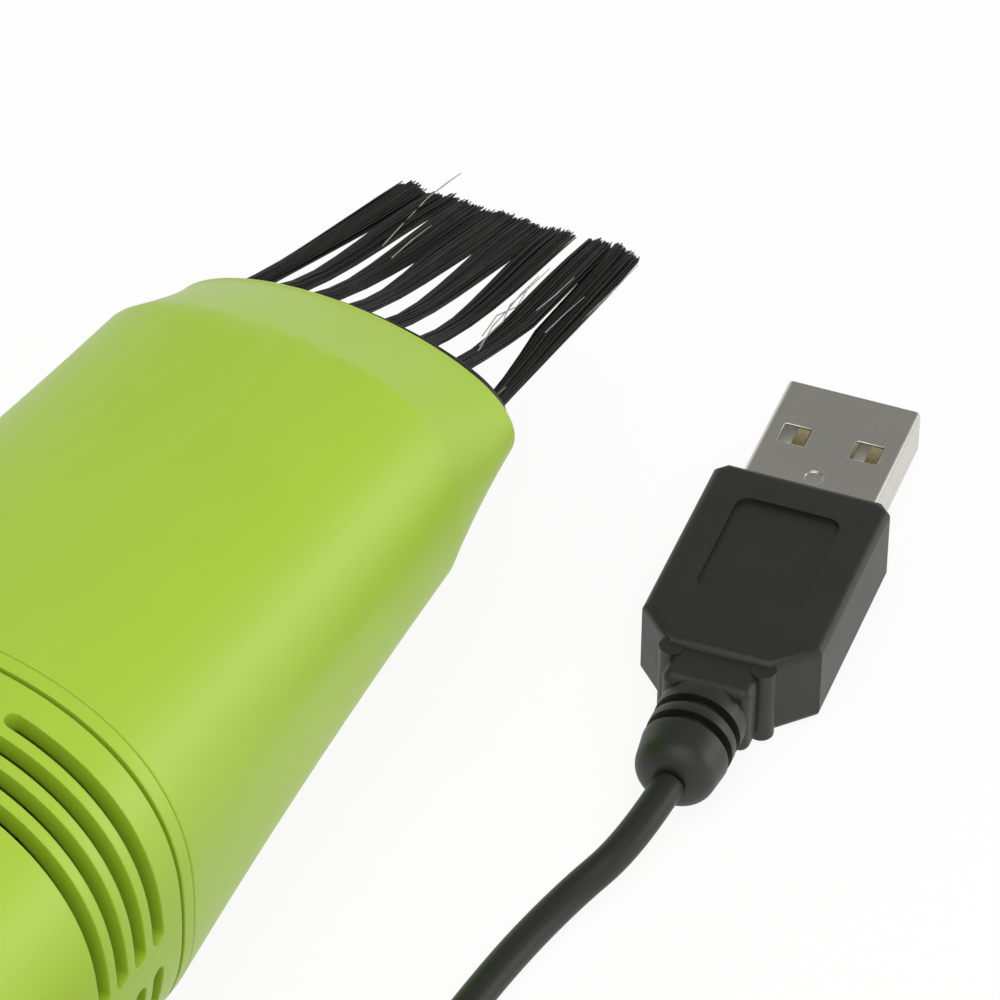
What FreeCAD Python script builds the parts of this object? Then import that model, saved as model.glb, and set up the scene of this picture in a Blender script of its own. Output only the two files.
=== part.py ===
"""Desktop mini vacuum cleaner powered from a USB lead.

The model lies along X: bristles point to +X, the lead leaves the tail towards -X.
+Y is left, +Z is up and the belly flat stands on Z = 0. X = 0 is halfway between the
bristle tips and the end of the tail boot. All sizes are millimetres.
"""
import FreeCAD, Part
import math
import os
import re
import Sketcher

SIZES = (
    # outer form
    ("body_half_width", 21.3, "barrel, half width"),
    ("body_half_height", 19.3, "barrel, half height"),
    ("body_power", 2.45, "barrel, superellipse exponent"),
    ("belly_flat", 0.36, "depth of the flat on the belly"),
    ("crease_half_width", 17.6, "crease where the bevelled nose starts, half width"),
    ("crease_half_height", 13.0, "crease, half height"),
    ("crease_power", 2.6, "crease, superellipse exponent"),
    ("waist_inset", 0.4, "how far the flanks draw in halfway along the cup"),
    ("rim_half_width", 16.5, "mouth rim, half width"),
    ("rim_half_height", 7.7, "mouth rim, half height"),
    ("rim_power", 2.0, "mouth rim, exponent (an ellipse)"),
    ("rim_round", 1.0, "rounding of the mouth rim"),
    ("nose_length", 11.9, "crease to mouth rim"),
    ("cup_length", 48.1, "crease to the rear edge of the dust cup"),
    ("cup_wall", 1.6, "wall of the dust cup"),
    ("mouth_depth", 8.0, "straight bore behind the rim"),
    # joint between the dust cup and the motor housing
    ("seat_gap", 0.1, "gap between the cup and the band it butts on"),
    ("band_width", 1.35, "visible band of the intake plate"),
    ("groove_width", 0.45, "shadow groove behind the band"),
    ("groove_depth", 0.9, "depth of the shadow groove"),
    ("spigot_length", 7.0, "spigot that the cup slides on"),
    ("spigot_gap", 0.3, "cup to spigot"),
    ("spigot_wall", 1.5, "wall of the spigot"),
    ("seal_width", 1.4, "seal ring, width along the axis"),
    ("seal_clear", 0.1, "seal ring to cup"),
    ("seal_groove", 0.7, "depth of the groove for the seal ring"),
    ("web_thickness", 1.6, "web of the intake plate"),
    ("neck_length", 1.7, "neck of the intake plate inside the housing"),
    ("neck_gap", 0.1, "neck to housing"),
    ("eye_radius", 8.0, "air eye in the intake plate"),
    ("spoke_width", 1.4, "spokes across the air eye"),
    ("spoke_hub_radius", 2.1, "radius of the boss where the spokes meet"),
    ("spoke_count", 3, "bars across the air eye"),
    ("spoke_root", 0.5, "how far each bar roots into the web"),
    # filter
    ("filter_depth", 4.0, "depth of the filter frame"),
    ("filter_rim", 1.3, "wall of the filter frame"),
    ("filter_gap", 0.3, "filter frame to spigot bore"),
    ("filter_bar", 1.4, "cross bars of the filter frame"),
    ("cloth_thickness", 1.2, "filter cloth"),
    ("filter_ledge", 1.2, "ledge behind the filter"),
    ("tab_width", 6.0, "pull tab on the filter frame"),
    ("tab_height", 3.2, "pull tab stands forward of the frame"),
    ("tab_thickness", 1.2, "pull tab thickness"),
    # brush
    ("holder_thickness", 2.6, "arched brush holder, thickness"),
    ("holder_gap", 0.3, "brush holder to mouth bore"),
    ("holder_proud", 1.5, "brush holder stands out of the rim"),
    ("bristle_length", 20.6, "free length of the bristles"),
    ("tuft_count", 8, "number of tufts"),
    ("tuft_first", 11.6, "leftmost tuft, distance left of the axis"),
    ("tuft_pitch", 3.54, "tuft pitch across the mouth"),
    ("tuft_radius", 0.75, "tuft at its root"),
    ("tuft_spread", 1.4, "tuft at its tip, half width"),
    ("tuft_flat", 0.8, "tuft at its tip, half thickness"),
    ("tuft_hole_gap", 0.05, "tuft to its hole"),
    ("tuft_hole_depth", 2.0, "depth of the tuft holes"),
    ("tip_first", 5.5, "leftmost tip, distance left of the axis"),
    ("tip_pitch", 2.85, "tip pitch"),
    ("tip_height", 2.3, "tips above the axis"),
    # motor housing
    ("barrel_length", 33.3, "straight barrel of the motor housing"),
    ("dome_length", 20.5, "rounded tail"),
    ("dome_turn", 68.0, "angle swept by the tail profile before its end face"),
    ("housing_wall", 1.8, "wall of the motor housing"),
    ("vent_count", 4, "slots in each quarter"),
    ("vent_lead", 3.4, "housing front to the first slot centre"),
    ("vent_pitch", 2.6, "slot pitch"),
    ("vent_width", 1.55, "slot width"),
    ("vent_strip", 8.2, "half width of the bare strip above and below"),
    ("vent_rib_top", 0.4, "slots end above the parting plane"),
    ("vent_rib_bottom", 2.4, "slots start below the parting plane"),
    ("boss_radius", 3.0, "screw boss"),
    ("boss_spread", 15.6, "screw bosses from the middle plane"),
    ("boss_lead", 26.8, "housing front to the screw bosses"),
    ("screw_radius", 1.0, "housing screw, shank"),
    ("screw_head_radius", 1.9, "housing screw, head"),
    ("screw_head_height", 1.4, "housing screw, head height"),
    ("screw_seat", 6.0, "screw seat below the parting plane"),
    ("screw_length", 12.0, "housing screw under its head"),
    ("pilot_spare", 1.0, "depth of the pilot hole beyond the screw's point"),
    ("cross_reach", 1.1, "length of the cross recess, as a share of the head's radius"),
    ("cross_arm", 0.3, "width of the cross recess, as a share of the head's radius"),
    ("screw_gap", 0.02, "thread in its pilot hole"),
    ("hole_gap", 0.3, "clearance holes for screws"),
    # fan
    ("chamber_length", 14.5, "housing front to the motor plate"),
    ("fan_gap", 2.7, "housing front to the impeller"),
    ("fan_radius", 14.5, "impeller"),
    ("fan_disc", 1.2, "impeller back disc"),
    ("blade_height", 8.0, "impeller blades"),
    ("blade_thickness", 0.9, "impeller blade thickness"),
    ("blade_count", 9, "impeller blades"),
    ("blade_root", 4.6, "inner end of a blade"),
    ("blade_setback", 0.3, "blade tip inside the edge of the disc"),
    ("blade_sweep", 4.0, "outer end of a blade trails by this"),
    ("blade_bow", 1.3, "bow of a blade"),
    ("hub_radius", 3.4, "impeller hub"),
    ("hub_bevel", 1.0, "bevel of the hub's front"),
    ("hub_length", 8.5, "impeller hub length"),
    ("press_gap", 0.01, "pressed bores"),
    # motor
    ("plate_thickness", 1.6, "motor plate"),
    ("plate_key", 0.7, "motor plate reaches into the housing wall"),
    ("plate_gap", 0.1, "motor plate in its groove"),
    ("motor_radius", 12.0, "motor can"),
    ("motor_length", 25.0, "motor can length"),
    ("motor_wall", 0.8, "motor can wall"),
    ("can_bevel", 1.0, "bevel of the can's front edge"),
    ("collar_radius", 4.0, "front collar of the motor can"),
    ("collar_length", 1.6, "front collar length"),
    ("shaft_radius", 1.0, "motor shaft"),
    ("shaft_bevel", 0.2, "bevel of the shaft's front end"),
    ("shaft_front", 10.5, "shaft in front of the can"),
    ("shaft_rear", 2.4, "shaft behind the can"),
    ("bearing_radius", 3.0, "sintered bearings"),
    ("bearing_length", 2.4, "bearing length"),
    ("shaft_gap", 0.03, "running gap of the shaft"),
    ("magnet_thickness", 2.4, "magnet arcs"),
    ("magnet_length", 16.0, "magnet length"),
    ("magnet_notch", 5.0, "gap between the magnet arcs"),
    ("air_gap", 0.4, "armature to magnets"),
    ("core_length", 11.0, "armature core"),
    ("core_setback", 6.0, "can front to the armature core"),
    ("pole_slot", 2.2, "winding slots of the armature"),
    ("pole_count", 3, "poles of the armature"),
    ("pole_slot_depth", 4.2, "depth of the winding slots"),
    ("commutator_radius", 2.6, "commutator"),
    ("commutator_gap", 1.0, "from the core to the commutator"),
    ("commutator_length", 3.2, "commutator length"),
    ("cap_thickness", 2.6, "motor end cap"),
    ("cap_step", 0.2, "end cap inside the can's outside"),
    ("cap_bevel", 1.0, "bevel of the end cap's rear edge"),
    ("bearing_sunk", 0.2, "rear bush below the cap's outer face"),
    ("cap_spigot", 1.2, "end cap inside the can"),
    ("tab_length", 3.2, "motor terminals"),
    ("tab_thick", 0.5, "thickness of a terminal tab"),
    ("tab_wide", 2.0, "width of a terminal tab"),
    ("tab_spread", 8.2, "motor terminals from the axis"),
    ("mount_screw_spread", 8.0, "motor screws from the axis"),
    ("mount_screw_radius", 0.95, "motor screws, shank"),
    ("mount_screw_head", 1.7, "motor screws, head radius"),
    ("mount_head_height", 0.9, "motor screws, head height"),
    ("mount_screw_bite", 1.4, "motor screws inside the motor can"),
    ("cradle_lead", 21.0, "motor plate to the cradle rib"),
    ("cradle_thickness", 1.8, "cradle rib"),
    ("cradle_gap", 0.15, "cradle to motor can"),
    ("lead_notch", 5.0, "notch for the leads in the cradle"),
    # slide switch
    ("switch_lead", 26.8, "housing front to the middle of the switch"),
    ("switch_length", 9.0, "switch case, along the axis"),
    ("switch_width", 4.6, "switch case, across"),
    ("switch_height", 3.8, "switch case, high"),
    ("pocket_depth", 2.28, "depth of the pocket walls beside the switch case"),
    ("switch_below", 2.1, "top of the switch case below the top of the housing"),
    ("switch_travel", 3.0, "travel of the knob"),
    ("switch_skirt", 1.1, "walls of the pocket that holds the switch"),
    ("switch_fit", 0.15, "switch case in its pocket"),
    ("knob_length", 7.0, "switch knob"),
    ("knob_width", 6.4, "switch knob, across"),
    ("knob_height", 2.2, "switch knob"),
    ("knob_lift", 0.1, "knob over the floor of its recess"),
    ("knob_corner", 1.2, "rounding of the knob's upright edges"),
    ("knob_gap", 0.35, "knob to its recess"),
    ("knob_rib_count", 4, "grip ribs on the knob"),
    ("knob_rib_pitch", 1.5, "grip rib pitch"),
    ("knob_rib_width", 0.7, "grip rib width"),
    ("knob_rib_height", 0.45, "grip rib height"),
    ("knob_rib_root", 0.1, "how far a rib roots into the knob"),
    ("knob_rib_length", 4.8, "length of a rib across the knob"),
    ("recess_depth", 1.0, "recess around the knob"),
    ("stem_length", 2.4, "knob stem along the axis"),
    ("stem_width", 1.8, "knob stem across"),
    ("stem_reach", 1.3, "stem in the switch case"),
    ("pin_width", 0.9, "switch pins"),
    ("pin_thickness", 0.5, "thickness of a solder pin"),
    ("pin_reach", 0.9, "switch pins below the case"),
    ("pin_pitch", 2.5, "switch pin pitch"),
    # tail boot
    ("boot_length", 11.0, "tail boot outside the housing"),
    ("boot_radius", 4.2, "tail boot at the housing"),
    ("boot_end_radius", 2.6, "tail boot at its end"),
    ("boot_neck_radius", 3.2, "tail boot in the housing wall"),
    ("boot_flange_radius", 4.6, "tail boot inside the housing"),
    ("boot_flange", 1.4, "tail boot flange thickness"),
    ("boot_ring_count", 3, "grooves in the tail boot"),
    ("boot_ring_first", 1.6, "from the tail to the first groove of the boot"),
    ("boot_ring_pitch", 2.4, "groove pitch"),
    ("boot_ring_width", 0.9, "groove width"),
    ("boot_ring_depth", 0.6, "groove depth"),
    ("clamp_setback", 0.2, "boot flange to the crimp ring"),
    ("clamp_length", 2.2, "crimp ring on the lead inside the tail"),
    ("jacket_show", 0.6, "lead jacket beyond the crimp ring"),
    ("clamp_radius", 2.4, "crimp ring"),
    # lead
    ("cord_diameter", 2.8, "USB lead"),
    ("inner_lead", 1.2, "leads inside the housing"),
    ("lead_clear", 0.15, "end of a lead to what it is soldered to"),
    ("coil_mid_radius", 16.8, "coil, middle of its turns"),
    ("coil_columns", 5, "turns side by side"),
    ("coil_layers", 2, "turns on top of each other"),
    ("coil_back", 58.0, "crease to the coil centre"),
    ("coil_aside", 59.4, "axis to the coil centre"),
    ("tie_thickness", 0.5, "tie around the coil"),
    ("tie_width", 4.0, "tie width"),
    ("tie_slack", 0.6, "room beside the coil inside the tie"),
    # USB plug
    ("plug_ahead", 43.0, "plug tip ahead of the crease"),
    ("plug_aside", 32.5, "plug tip right of the axis"),
    ("plug_yaw", 8.95, "plug turned to the left, degrees"),
    ("shell_width", 12.0, "plug shell"),
    ("shell_height", 4.5, "plug shell"),
    ("shell_wall", 0.3, "plug shell sheet"),
    ("shell_round", 0.5, "rounded folds of the plug shell"),
    ("dimple_setback", 11.2, "tip to the dimple in the plug shell"),
    ("dimple_radius", 0.8, "dimple in the plug shell"),
    ("dimple_depth", 0.15, "dimple in the plug shell"),
    ("shell_exposed", 13.6, "plug shell in front of the overmold"),
    ("shell_buried", 4.8, "plug shell inside the overmold"),
    ("window_length", 2.3, "latch windows, along the plug"),
    ("window_width", 2.5, "latch windows, across"),
    ("window_setback", 6.6, "tip to the window centres"),
    ("window_spread", 3.25, "window centres from the middle"),
    ("tongue_thickness", 1.9, "plug tongue"),
    ("tongue_setback", 0.7, "tongue behind the tip"),
    ("contact_length", 7.4, "plug contacts"),
    ("contact_setback", 0.6, "contacts behind the tongue's front edge"),
    ("contact_count", 4, "contacts of a plain USB plug"),
    ("contact_width", 1.1, "plug contacts"),
    ("contact_height", 0.2, "plug contacts"),
    ("contact_pitch", 2.2, "plug contact pitch"),
    ("grip_length", 22.6, "plug overmold"),
    ("grip_width", 15.8, "plug overmold"),
    ("grip_height", 8.0, "plug overmold"),
    ("grip_front_bevel", 1.0, "bevel around the front of the overmold"),
    ("grip_rear_bevel", 3.4, "shoulders at the rear of the overmold"),
    ("grip_edge", 0.9, "rounded edges of the overmold"),
    ("panel_setback", 3.8, "front of the overmold to the sunk panel"),
    ("panel_length", 12.0, "sunk panel on the overmold"),
    ("panel_width", 9.2, "sunk panel on the overmold"),
    ("panel_depth", 0.35, "sunk panel on the overmold"),
    ("panel_round", 1.2, "corners of the sunk panel"),
    ("post_radius", 1.1, "rounded posts at the rear corners of the overmold"),
    ("post_setback", 0.2, "posts behind the rear of the overmold"),
    ("post_height", 7.2, "posts at the rear corners of the overmold"),
    ("post_inset", 0.5, "posts nearer to the middle than the corners"),
    ("neck_block_length", 3.6, "flat neck of the overmold"),
    ("neck_root", 1.0, "how far neck and relief root into the grip"),
    ("neck_block_width", 7.8, "neck of the overmold"),
    ("neck_block_height", 7.0, "neck of the overmold"),
    ("neck_block_round", 0.9, "rounded edges of the neck"),
    ("relief_collar", 1.6, "round collar between the neck and the first groove"),
    ("relief_length", 12.2, "strain relief of the plug"),
    ("relief_radius", 3.8, "strain relief after its grooves"),
    ("relief_end_radius", 3.3, "strain relief at its end"),
    ("relief_round", 2.0, "strain relief, rounded end"),
    ("relief_ring_width", 1.0, "grooves in the strain relief"),
    ("relief_ring_depth", 0.8, "grooves in the strain relief"),
)

# Places along the axis: each is another place plus or minus one size.
STATIONS = {
    "rim": ("crease", "+nose_length"),
    "bore_rear": ("rim", "-mouth_depth"),
    "holder_front": ("rim", "+holder_proud"),
    "tips": ("holder_front", "+bristle_length"),
    "cup_rear": ("crease", "-cup_length"),
    "band_front": ("cup_rear", "-seat_gap"),
    "band_rear": ("band_front", "-band_width"),
    "spigot_front": ("band_front", "+spigot_length"),
    "filter_rear": ("spigot_front", "-filter_depth"),
    "housing_front": ("band_rear", "-groove_width"),
    "fan_front": ("housing_front", "-fan_gap"),
    "fan_rear": ("fan_front", "-hub_length"),
    "plate_front": ("housing_front", "-chamber_length"),
    "motor_front": ("plate_front", "-plate_thickness"),
    "core_front": ("motor_front", "-core_setback"),
    "core_rear": ("core_front", "-core_length"),
    "motor_rear": ("motor_front", "-motor_length"),
    "shaft_tip": ("motor_front", "+shaft_front"),
    "barrel_rear": ("housing_front", "-barrel_length"),
    "tail": ("barrel_rear", "-dome_length"),
    "boot_end": ("tail", "-boot_length"),
    "switch_middle": ("housing_front", "-switch_lead"),
    "boss_middle": ("housing_front", "-boss_lead"),
    "cradle_front": ("plate_front", "-cradle_lead"),
    "coil_middle": ("crease", "-coil_back"),
    "plug_tip": ("crease", "+plug_ahead"),
}

OUTLINE_POINTS = 32          # points that a superellipse outline is drawn through
DOME_SECTIONS = 6            # outlines that the rounded tail is lofted through

# Route of the lead from the plug to the coil: distance ahead of the crease, left of the
# axis and above the table.
FRONT_ROUTE = (
    (-4.8, -40.05, 4.0),
    (-11.8, -40.3, 3.3),
    (-18.4, -38.0, 1.75),
    (-28.0, -36.9, 1.4),
    (-42.0, -36.9, 1.4),
    (-58.0, -37.0, 1.9),
)
# Route of the lead from the tail boot down to the table and round to the coil.
REAR_ROUTE = (
    (-114.8, 0.0, 18.94),
    (-124.2, 0.0, 18.94),
    (-134.0, -1.2, 14.6),
    (-142.4, -5.6, 8.6),
    (-147.6, -13.6, 4.0),
    (-147.4, -23.8, 1.7),
    (-141.6, -32.2, 1.4),
    (-131.4, -37.6, 1.4),
    (-117.0, -40.4, 1.7),
    (-98.0, -40.2, 2.8),
    (-78.0, -38.2, 4.3),
    (-58.0, -37.0, 4.7),
)


def fill_sheet(doc):
    """Write every driving size into the sheet and name its cell."""
    sheet = doc.addObject("Spreadsheet::Sheet", "Sizes")
    for row, (alias, number, note) in enumerate(SIZES, start=1):
        sheet.set(f"A{row}", note)
        sheet.set(f"B{row}", str(number))
        sheet.setAlias(f"B{row}", alias)
    doc.recompute()
    return sheet


DOC = FreeCAD.newDocument("mini_vacuum")
SHEET = fill_sheet(DOC)
ALIASES = {alias for alias, _number, _note in SIZES}


def size(alias):
    """The number in a named cell."""
    return float(SHEET.get(alias))


def bind(obj, prop, formula):
    """Tie a property to a formula whose words are names of cells."""
    named = re.sub(r"[a-z_]{4,}", lambda m: f"Sizes.{m[0]}" if m[0] in ALIASES else m[0], formula)
    obj.setExpression(prop, named)


def station_terms(name):
    """The signed sizes that lead from the crease to a place along the axis."""
    if name == "crease":
        return []
    before, step = STATIONS[name]
    return station_terms(before) + [step]


def station(name):
    """A place along the axis, as a distance ahead of the crease."""
    return sum(size(step[1:]) * (1 if step[0] == "+" else -1) for step in station_terms(name))


def station_formula(name):
    """The same place as a formula of cells."""
    return " ".join(f"{step[0]} {step[1:]}" for step in station_terms(name)) or "0"


def crease_formula():
    """X of the crease: the middle of tips and boot end lies on X = 0."""
    return f"-(({station_formula('tips')}) + ({station_formula('boot_end')})) / 2"


def crease_x():
    """X of the crease as a number."""
    return -(station("tips") + station("boot_end")) / 2


def axis_height():
    """Height of the axis over the table."""
    return size("body_half_height") - size("belly_flat")


def seat(obj, at="crease"):
    """Place a piece that is drawn about the axis, with its own zero at a station."""
    bind(obj, "Placement.Base.x", f"{crease_formula()} + ({station_formula(at)})")
    bind(obj, "Placement.Base.z", "body_half_height - belly_flat")


def piece(name, shape):
    """A sub-part whose shape is built by functions, seated on the axis at the crease."""
    obj = DOC.addObject("Part::Feature", name)
    obj.Label = name
    obj.Shape = shape
    obj.Placement = FreeCAD.Placement(
        FreeCAD.Vector(crease_x(), 0, axis_height()), FreeCAD.Rotation())
    return obj


# ---------------------------------------------------------------- drawing helpers

def oval(x, half_width, half_height, power):
    """Closed superellipse outline in the plane at x, drawn by its polar formula."""
    points = []
    for step in range(OUTLINE_POINTS):
        turn = 2 * math.pi * step / OUTLINE_POINTS
        across = abs(math.cos(turn) / half_width) ** power
        upward = abs(math.sin(turn) / half_height) ** power
        reach = (across + upward) ** (-1 / power)
        points.append(FreeCAD.Vector(x, reach * math.cos(turn), reach * math.sin(turn)))
    curve = Part.BSplineCurve()
    curve.interpolate(Points=points, PeriodicFlag=True)
    return Part.Wire([curve.toShape()])


# how far a cutter runs past the surface that it opens
OVERCUT = 1.0


def oval_block(front, rear, half_width, half_height, power):
    """Straight solid with a superellipse outline between two places on the axis."""
    face = Part.Face(oval(rear, half_width, half_height, power))
    return face.extrude(FreeCAD.Vector(front - rear, 0, 0))


def rod(start, length, radius, direction=FreeCAD.Vector(1, 0, 0)):
    """Round bar."""
    return Part.makeCylinder(radius, length, start, direction)


def block(x_range, y_range, z_range):
    """Box between two corners."""
    corner = FreeCAD.Vector(x_range[0], y_range[0], z_range[0])
    return Part.makeBox(x_range[1] - x_range[0], y_range[1] - y_range[0], z_range[1] - z_range[0],
                        corner)


def middle_block(centre, length, width, height):
    """Box about its centre."""
    x, y, z = centre
    return block((x - length / 2, x + length / 2), (y - width / 2, y + width / 2),
                 (z - height / 2, z + height / 2))


def new_body(name):
    """Empty PartDesign body with its label."""
    body = DOC.addObject("PartDesign::Body", name)
    body.Label = name
    return body


def new_sketch(body, name, role):
    """Sketch on one of the body's own origin planes."""
    plane = next(item for item in body.Origin.OriginFeatures if item.Role == role)
    sketch = body.newObject("Sketcher::SketchObject", name)
    sketch.AttachmentSupport = (plane, [""])
    sketch.MapMode = "FlatFace"
    return sketch


def pin_point(sketch, edge, end, formulas, guess):
    """Hold one end of an edge at the place that two formulas give."""
    for kind, formula, number in zip(("DistanceX", "DistanceY"), formulas, guess):
        index = sketch.addConstraint(Sketcher.Constraint(kind, -1, 1, edge, end, number))
        bind(sketch, f"Constraints[{index}]", formula)


def circle(sketch, centre, radius):
    """Circle whose centre and radius are given as formulas."""
    up = FreeCAD.Vector(0, 0, 1)
    index = sketch.addGeometry(Part.Circle(FreeCAD.Vector(1, 1, 0), up, 1), False)
    pin_point(sketch, index, 3, centre, (1, 1))
    held = sketch.addConstraint(Sketcher.Constraint("Radius", index, 1))
    bind(sketch, f"Constraints[{held}]", radius)


def outline(sketch, corners):
    """Closed polygon through corners given as pairs of formulas."""
    count = len(corners)
    ring = [(10 * math.cos(2 * math.pi * i / count), 30 + 10 * math.sin(2 * math.pi * i / count))
            for i in range(count)]
    for index in range(count):
        start = FreeCAD.Vector(*ring[index], 0)
        end = FreeCAD.Vector(*ring[(index + 1) % count], 0)
        sketch.addGeometry(Part.LineSegment(start, end), False)
    for index in range(count):
        sketch.addConstraint(Sketcher.Constraint("Coincident", index, 2, (index + 1) % count, 1))
    for index, formulas in enumerate(corners):
        pin_point(sketch, index, 1, formulas, ring[index])


def turn_about_axis(body, corners, name):
    """Revolve an outline of (along, radius) corners about the X axis."""
    sketch = new_sketch(body, f"{name}_outline", "XY_Plane")
    outline(sketch, corners)
    revolution = body.newObject("PartDesign::Revolution", f"{name}_turned")
    revolution.Profile = sketch
    revolution.ReferenceAxis = (sketch, ["H_Axis"])
    revolution.Angle = 360
    body.Tip = revolution
    return revolution


def turned(name, at, corners):
    """Sub-part that is one turned outline seated at a station."""
    body = new_body(name)
    turn_about_axis(body, corners, name)
    seat(body, at)
    return body


# ---------------------------------------------------------------- outer form

def waist(start, end):
    """Half size halfway along the cup: the flank runs a little inside a straight line."""
    return (start + end) / 2 - size("waist_inset")


def cup_outlines(inset):
    """Outlines of the cup from its rear edge to the crease, drawn in by inset."""
    width, height = size("body_half_width"), size("body_half_height")
    crease_w, crease_h = size("crease_half_width"), size("crease_half_height")
    rear, power = station("cup_rear"), size("body_power")
    middle_power = (power + size("crease_power")) / 2
    return [
        oval(rear, width - inset, height - inset, power),
        oval(rear / 2, waist(width, crease_w) - inset, waist(height, crease_h) - inset, middle_power),
        oval(0, crease_w - inset, crease_h - inset, size("crease_power")),
    ]


def nose():
    """Bevelled nose from the crease to the rounded mouth rim."""
    width, height, power = size("rim_half_width"), size("rim_half_height"), size("rim_power")
    rim, radius = station("rim"), size("rim_round")
    crease = oval(0, size("crease_half_width"), size("crease_half_height"), size("crease_power"))
    bevel = Part.makeLoft([crease, oval(rim - radius, width, height, power)], True, True)
    steps = [math.radians(angle) for angle in (0, 30, 60, 90)]
    lip = [oval(rim - radius * (1 - math.sin(a)), width - radius * (1 - math.cos(a)),
                height - radius * (1 - math.cos(a)), power) for a in steps]
    return bevel.fuse(Part.makeLoft(lip, True, False))


def far():
    """A distance that is longer than the whole cleaner."""
    return station("tips") - station("boot_end")


def above_table():
    """Everything above the belly flat."""
    return block((-far(), far()), (-far(), far()), (-axis_height(), far()))


def mouth_half_sizes():
    """Half width and half height of the straight mouth bore."""
    return size("rim_half_width") - size("cup_wall"), size("rim_half_height") - size("cup_wall")


def dust_cup():
    """Thin cup that collects the dust: tapered shell, bevelled nose and straight mouth."""
    wall = size("cup_wall")
    mouth_w, mouth_h = mouth_half_sizes()
    rim, bore_rear = station("rim"), station("bore_rear")
    outside = Part.makeLoft(cup_outlines(0), True, False).fuse(nose())
    rear_w, rear_h = size("body_half_width") - wall, size("body_half_height") - wall
    rear = station("cup_rear")
    chamber = Part.makeLoft(cup_outlines(wall), True, False)
    entry = oval_block(rear, rear - OVERCUT, rear_w, rear_h, size("body_power"))
    funnel = Part.makeLoft([
        oval(0, size("crease_half_width") - wall, size("crease_half_height") - wall,
             size("crease_power")),
        oval(bore_rear, mouth_w, mouth_h, size("rim_power")),
    ], True, True)
    bore = oval_block(rim + OVERCUT, bore_rear, mouth_w, mouth_h, size("rim_power"))
    shell = outside.cut([chamber, entry, funnel, bore])
    # two rails carry the ends of the arched brush holder
    rails = []
    for side in (-1, 1):
        outer_y = side * (mouth_w + wall / 2)
        inner_y = side * (mouth_w - size("holder_gap") - size("holder_thickness"))
        rail = block((bore_rear, rim - size("rim_round")), sorted((inner_y, outer_y)),
                     (-size("holder_thickness") / 2, 0))
        rails.append(rail)
    return piece("dust_cup", shell.fuse(rails).common(above_table()).removeSplitter())


# ---------------------------------------------------------------- brush

def arch_point(y):
    """Height of the middle of the arched holder over the axis at a distance from it."""
    mouth_w, mouth_h = mouth_half_sizes()
    inset = size("holder_gap") + size("holder_thickness") / 2
    return (mouth_h - inset) * math.sqrt(1 - (y / (mouth_w - inset)) ** 2)


def tuft_roots():
    """Places of the tufts on the front face of the holder."""
    rows = []
    for index in range(int(size("tuft_count"))):
        y = size("tuft_first") - index * size("tuft_pitch")
        rows.append(FreeCAD.Vector(station("holder_front"), y, arch_point(y)))
    return rows


def brush_holder():
    """Arched strip under the roof of the mouth, drilled for the tufts."""
    mouth_w, mouth_h = mouth_half_sizes()
    gap, thick = size("holder_gap"), size("holder_thickness")
    front, rear = station("holder_front"), station("bore_rear")
    outer = oval_block(front, rear, mouth_w - gap, mouth_h - gap, size("rim_power"))
    inner = oval_block(front + OVERCUT, rear - OVERCUT, mouth_w - gap - thick,
                       mouth_h - gap - thick, size("rim_power"))
    upper = block((rear, front), (-mouth_w, mouth_w), (gap, mouth_h))
    radius = size("tuft_radius") + size("tuft_hole_gap")
    depth = size("tuft_hole_depth")
    holes = [rod(root - FreeCAD.Vector(depth, 0, 0), depth + OVERCUT, radius)
             for root in tuft_roots()]
    return piece("brush_holder", outer.cut(inner).common(upper).cut(holes))


def brush_tufts():
    """Tufts of nylon bristle that flatten and spread towards their trimmed tips."""
    depth = size("tuft_hole_depth")
    radius = size("tuft_radius")
    tufts = []
    for index, root in enumerate(tuft_roots()):
        seat_end = oval(root.x - depth, radius, radius, 2)
        mouth_end = oval(root.x, radius, radius, 2)
        for ring in (seat_end, mouth_end):
            ring.translate(FreeCAD.Vector(0, root.y, root.z))
        tip = oval(station("tips"), size("tuft_spread"), size("tuft_flat"), 2)
        tip_y = size("tip_first") - index * size("tip_pitch")
        tip.translate(FreeCAD.Vector(0, tip_y, size("tip_height")))
        tufts.append(Part.makeLoft([seat_end, mouth_end, tip], True, True))
    return piece("brush_tufts", Part.makeCompound(tufts))


# ---------------------------------------------------------------- filter and intake plate

def cup_inside(x, draw_in):
    """Half sizes of the cup's inside at x, drawn in by a clearance."""
    share = (x - station("cup_rear")) / size("cup_length")
    inset = size("cup_wall") + draw_in + 4 * size("waist_inset") * share * (1 - share)
    width, height = size("body_half_width"), size("body_half_height")
    return (width + (size("crease_half_width") - width) * share - inset,
            height + (size("crease_half_height") - height) * share - inset)


def spigot_outlines():
    """Outlines that follow the inside of the cup from the band to the spigot's front."""
    return [oval(x, *cup_inside(x, size("spigot_gap")), size("body_power"))
            for x in (station("band_front"), station("spigot_front"))]


def spigot_bore_half_sizes():
    """Half sizes of the straight bore that holds the filter."""
    return cup_inside(station("spigot_front"), size("spigot_gap") + size("spigot_wall"))


def seal_range():
    """Front and rear of the groove for the seal ring, halfway along the spigot."""
    middle = (station("band_front") + station("spigot_front")) / 2
    return middle + size("seal_width") / 2, middle - size("seal_width") / 2


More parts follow.
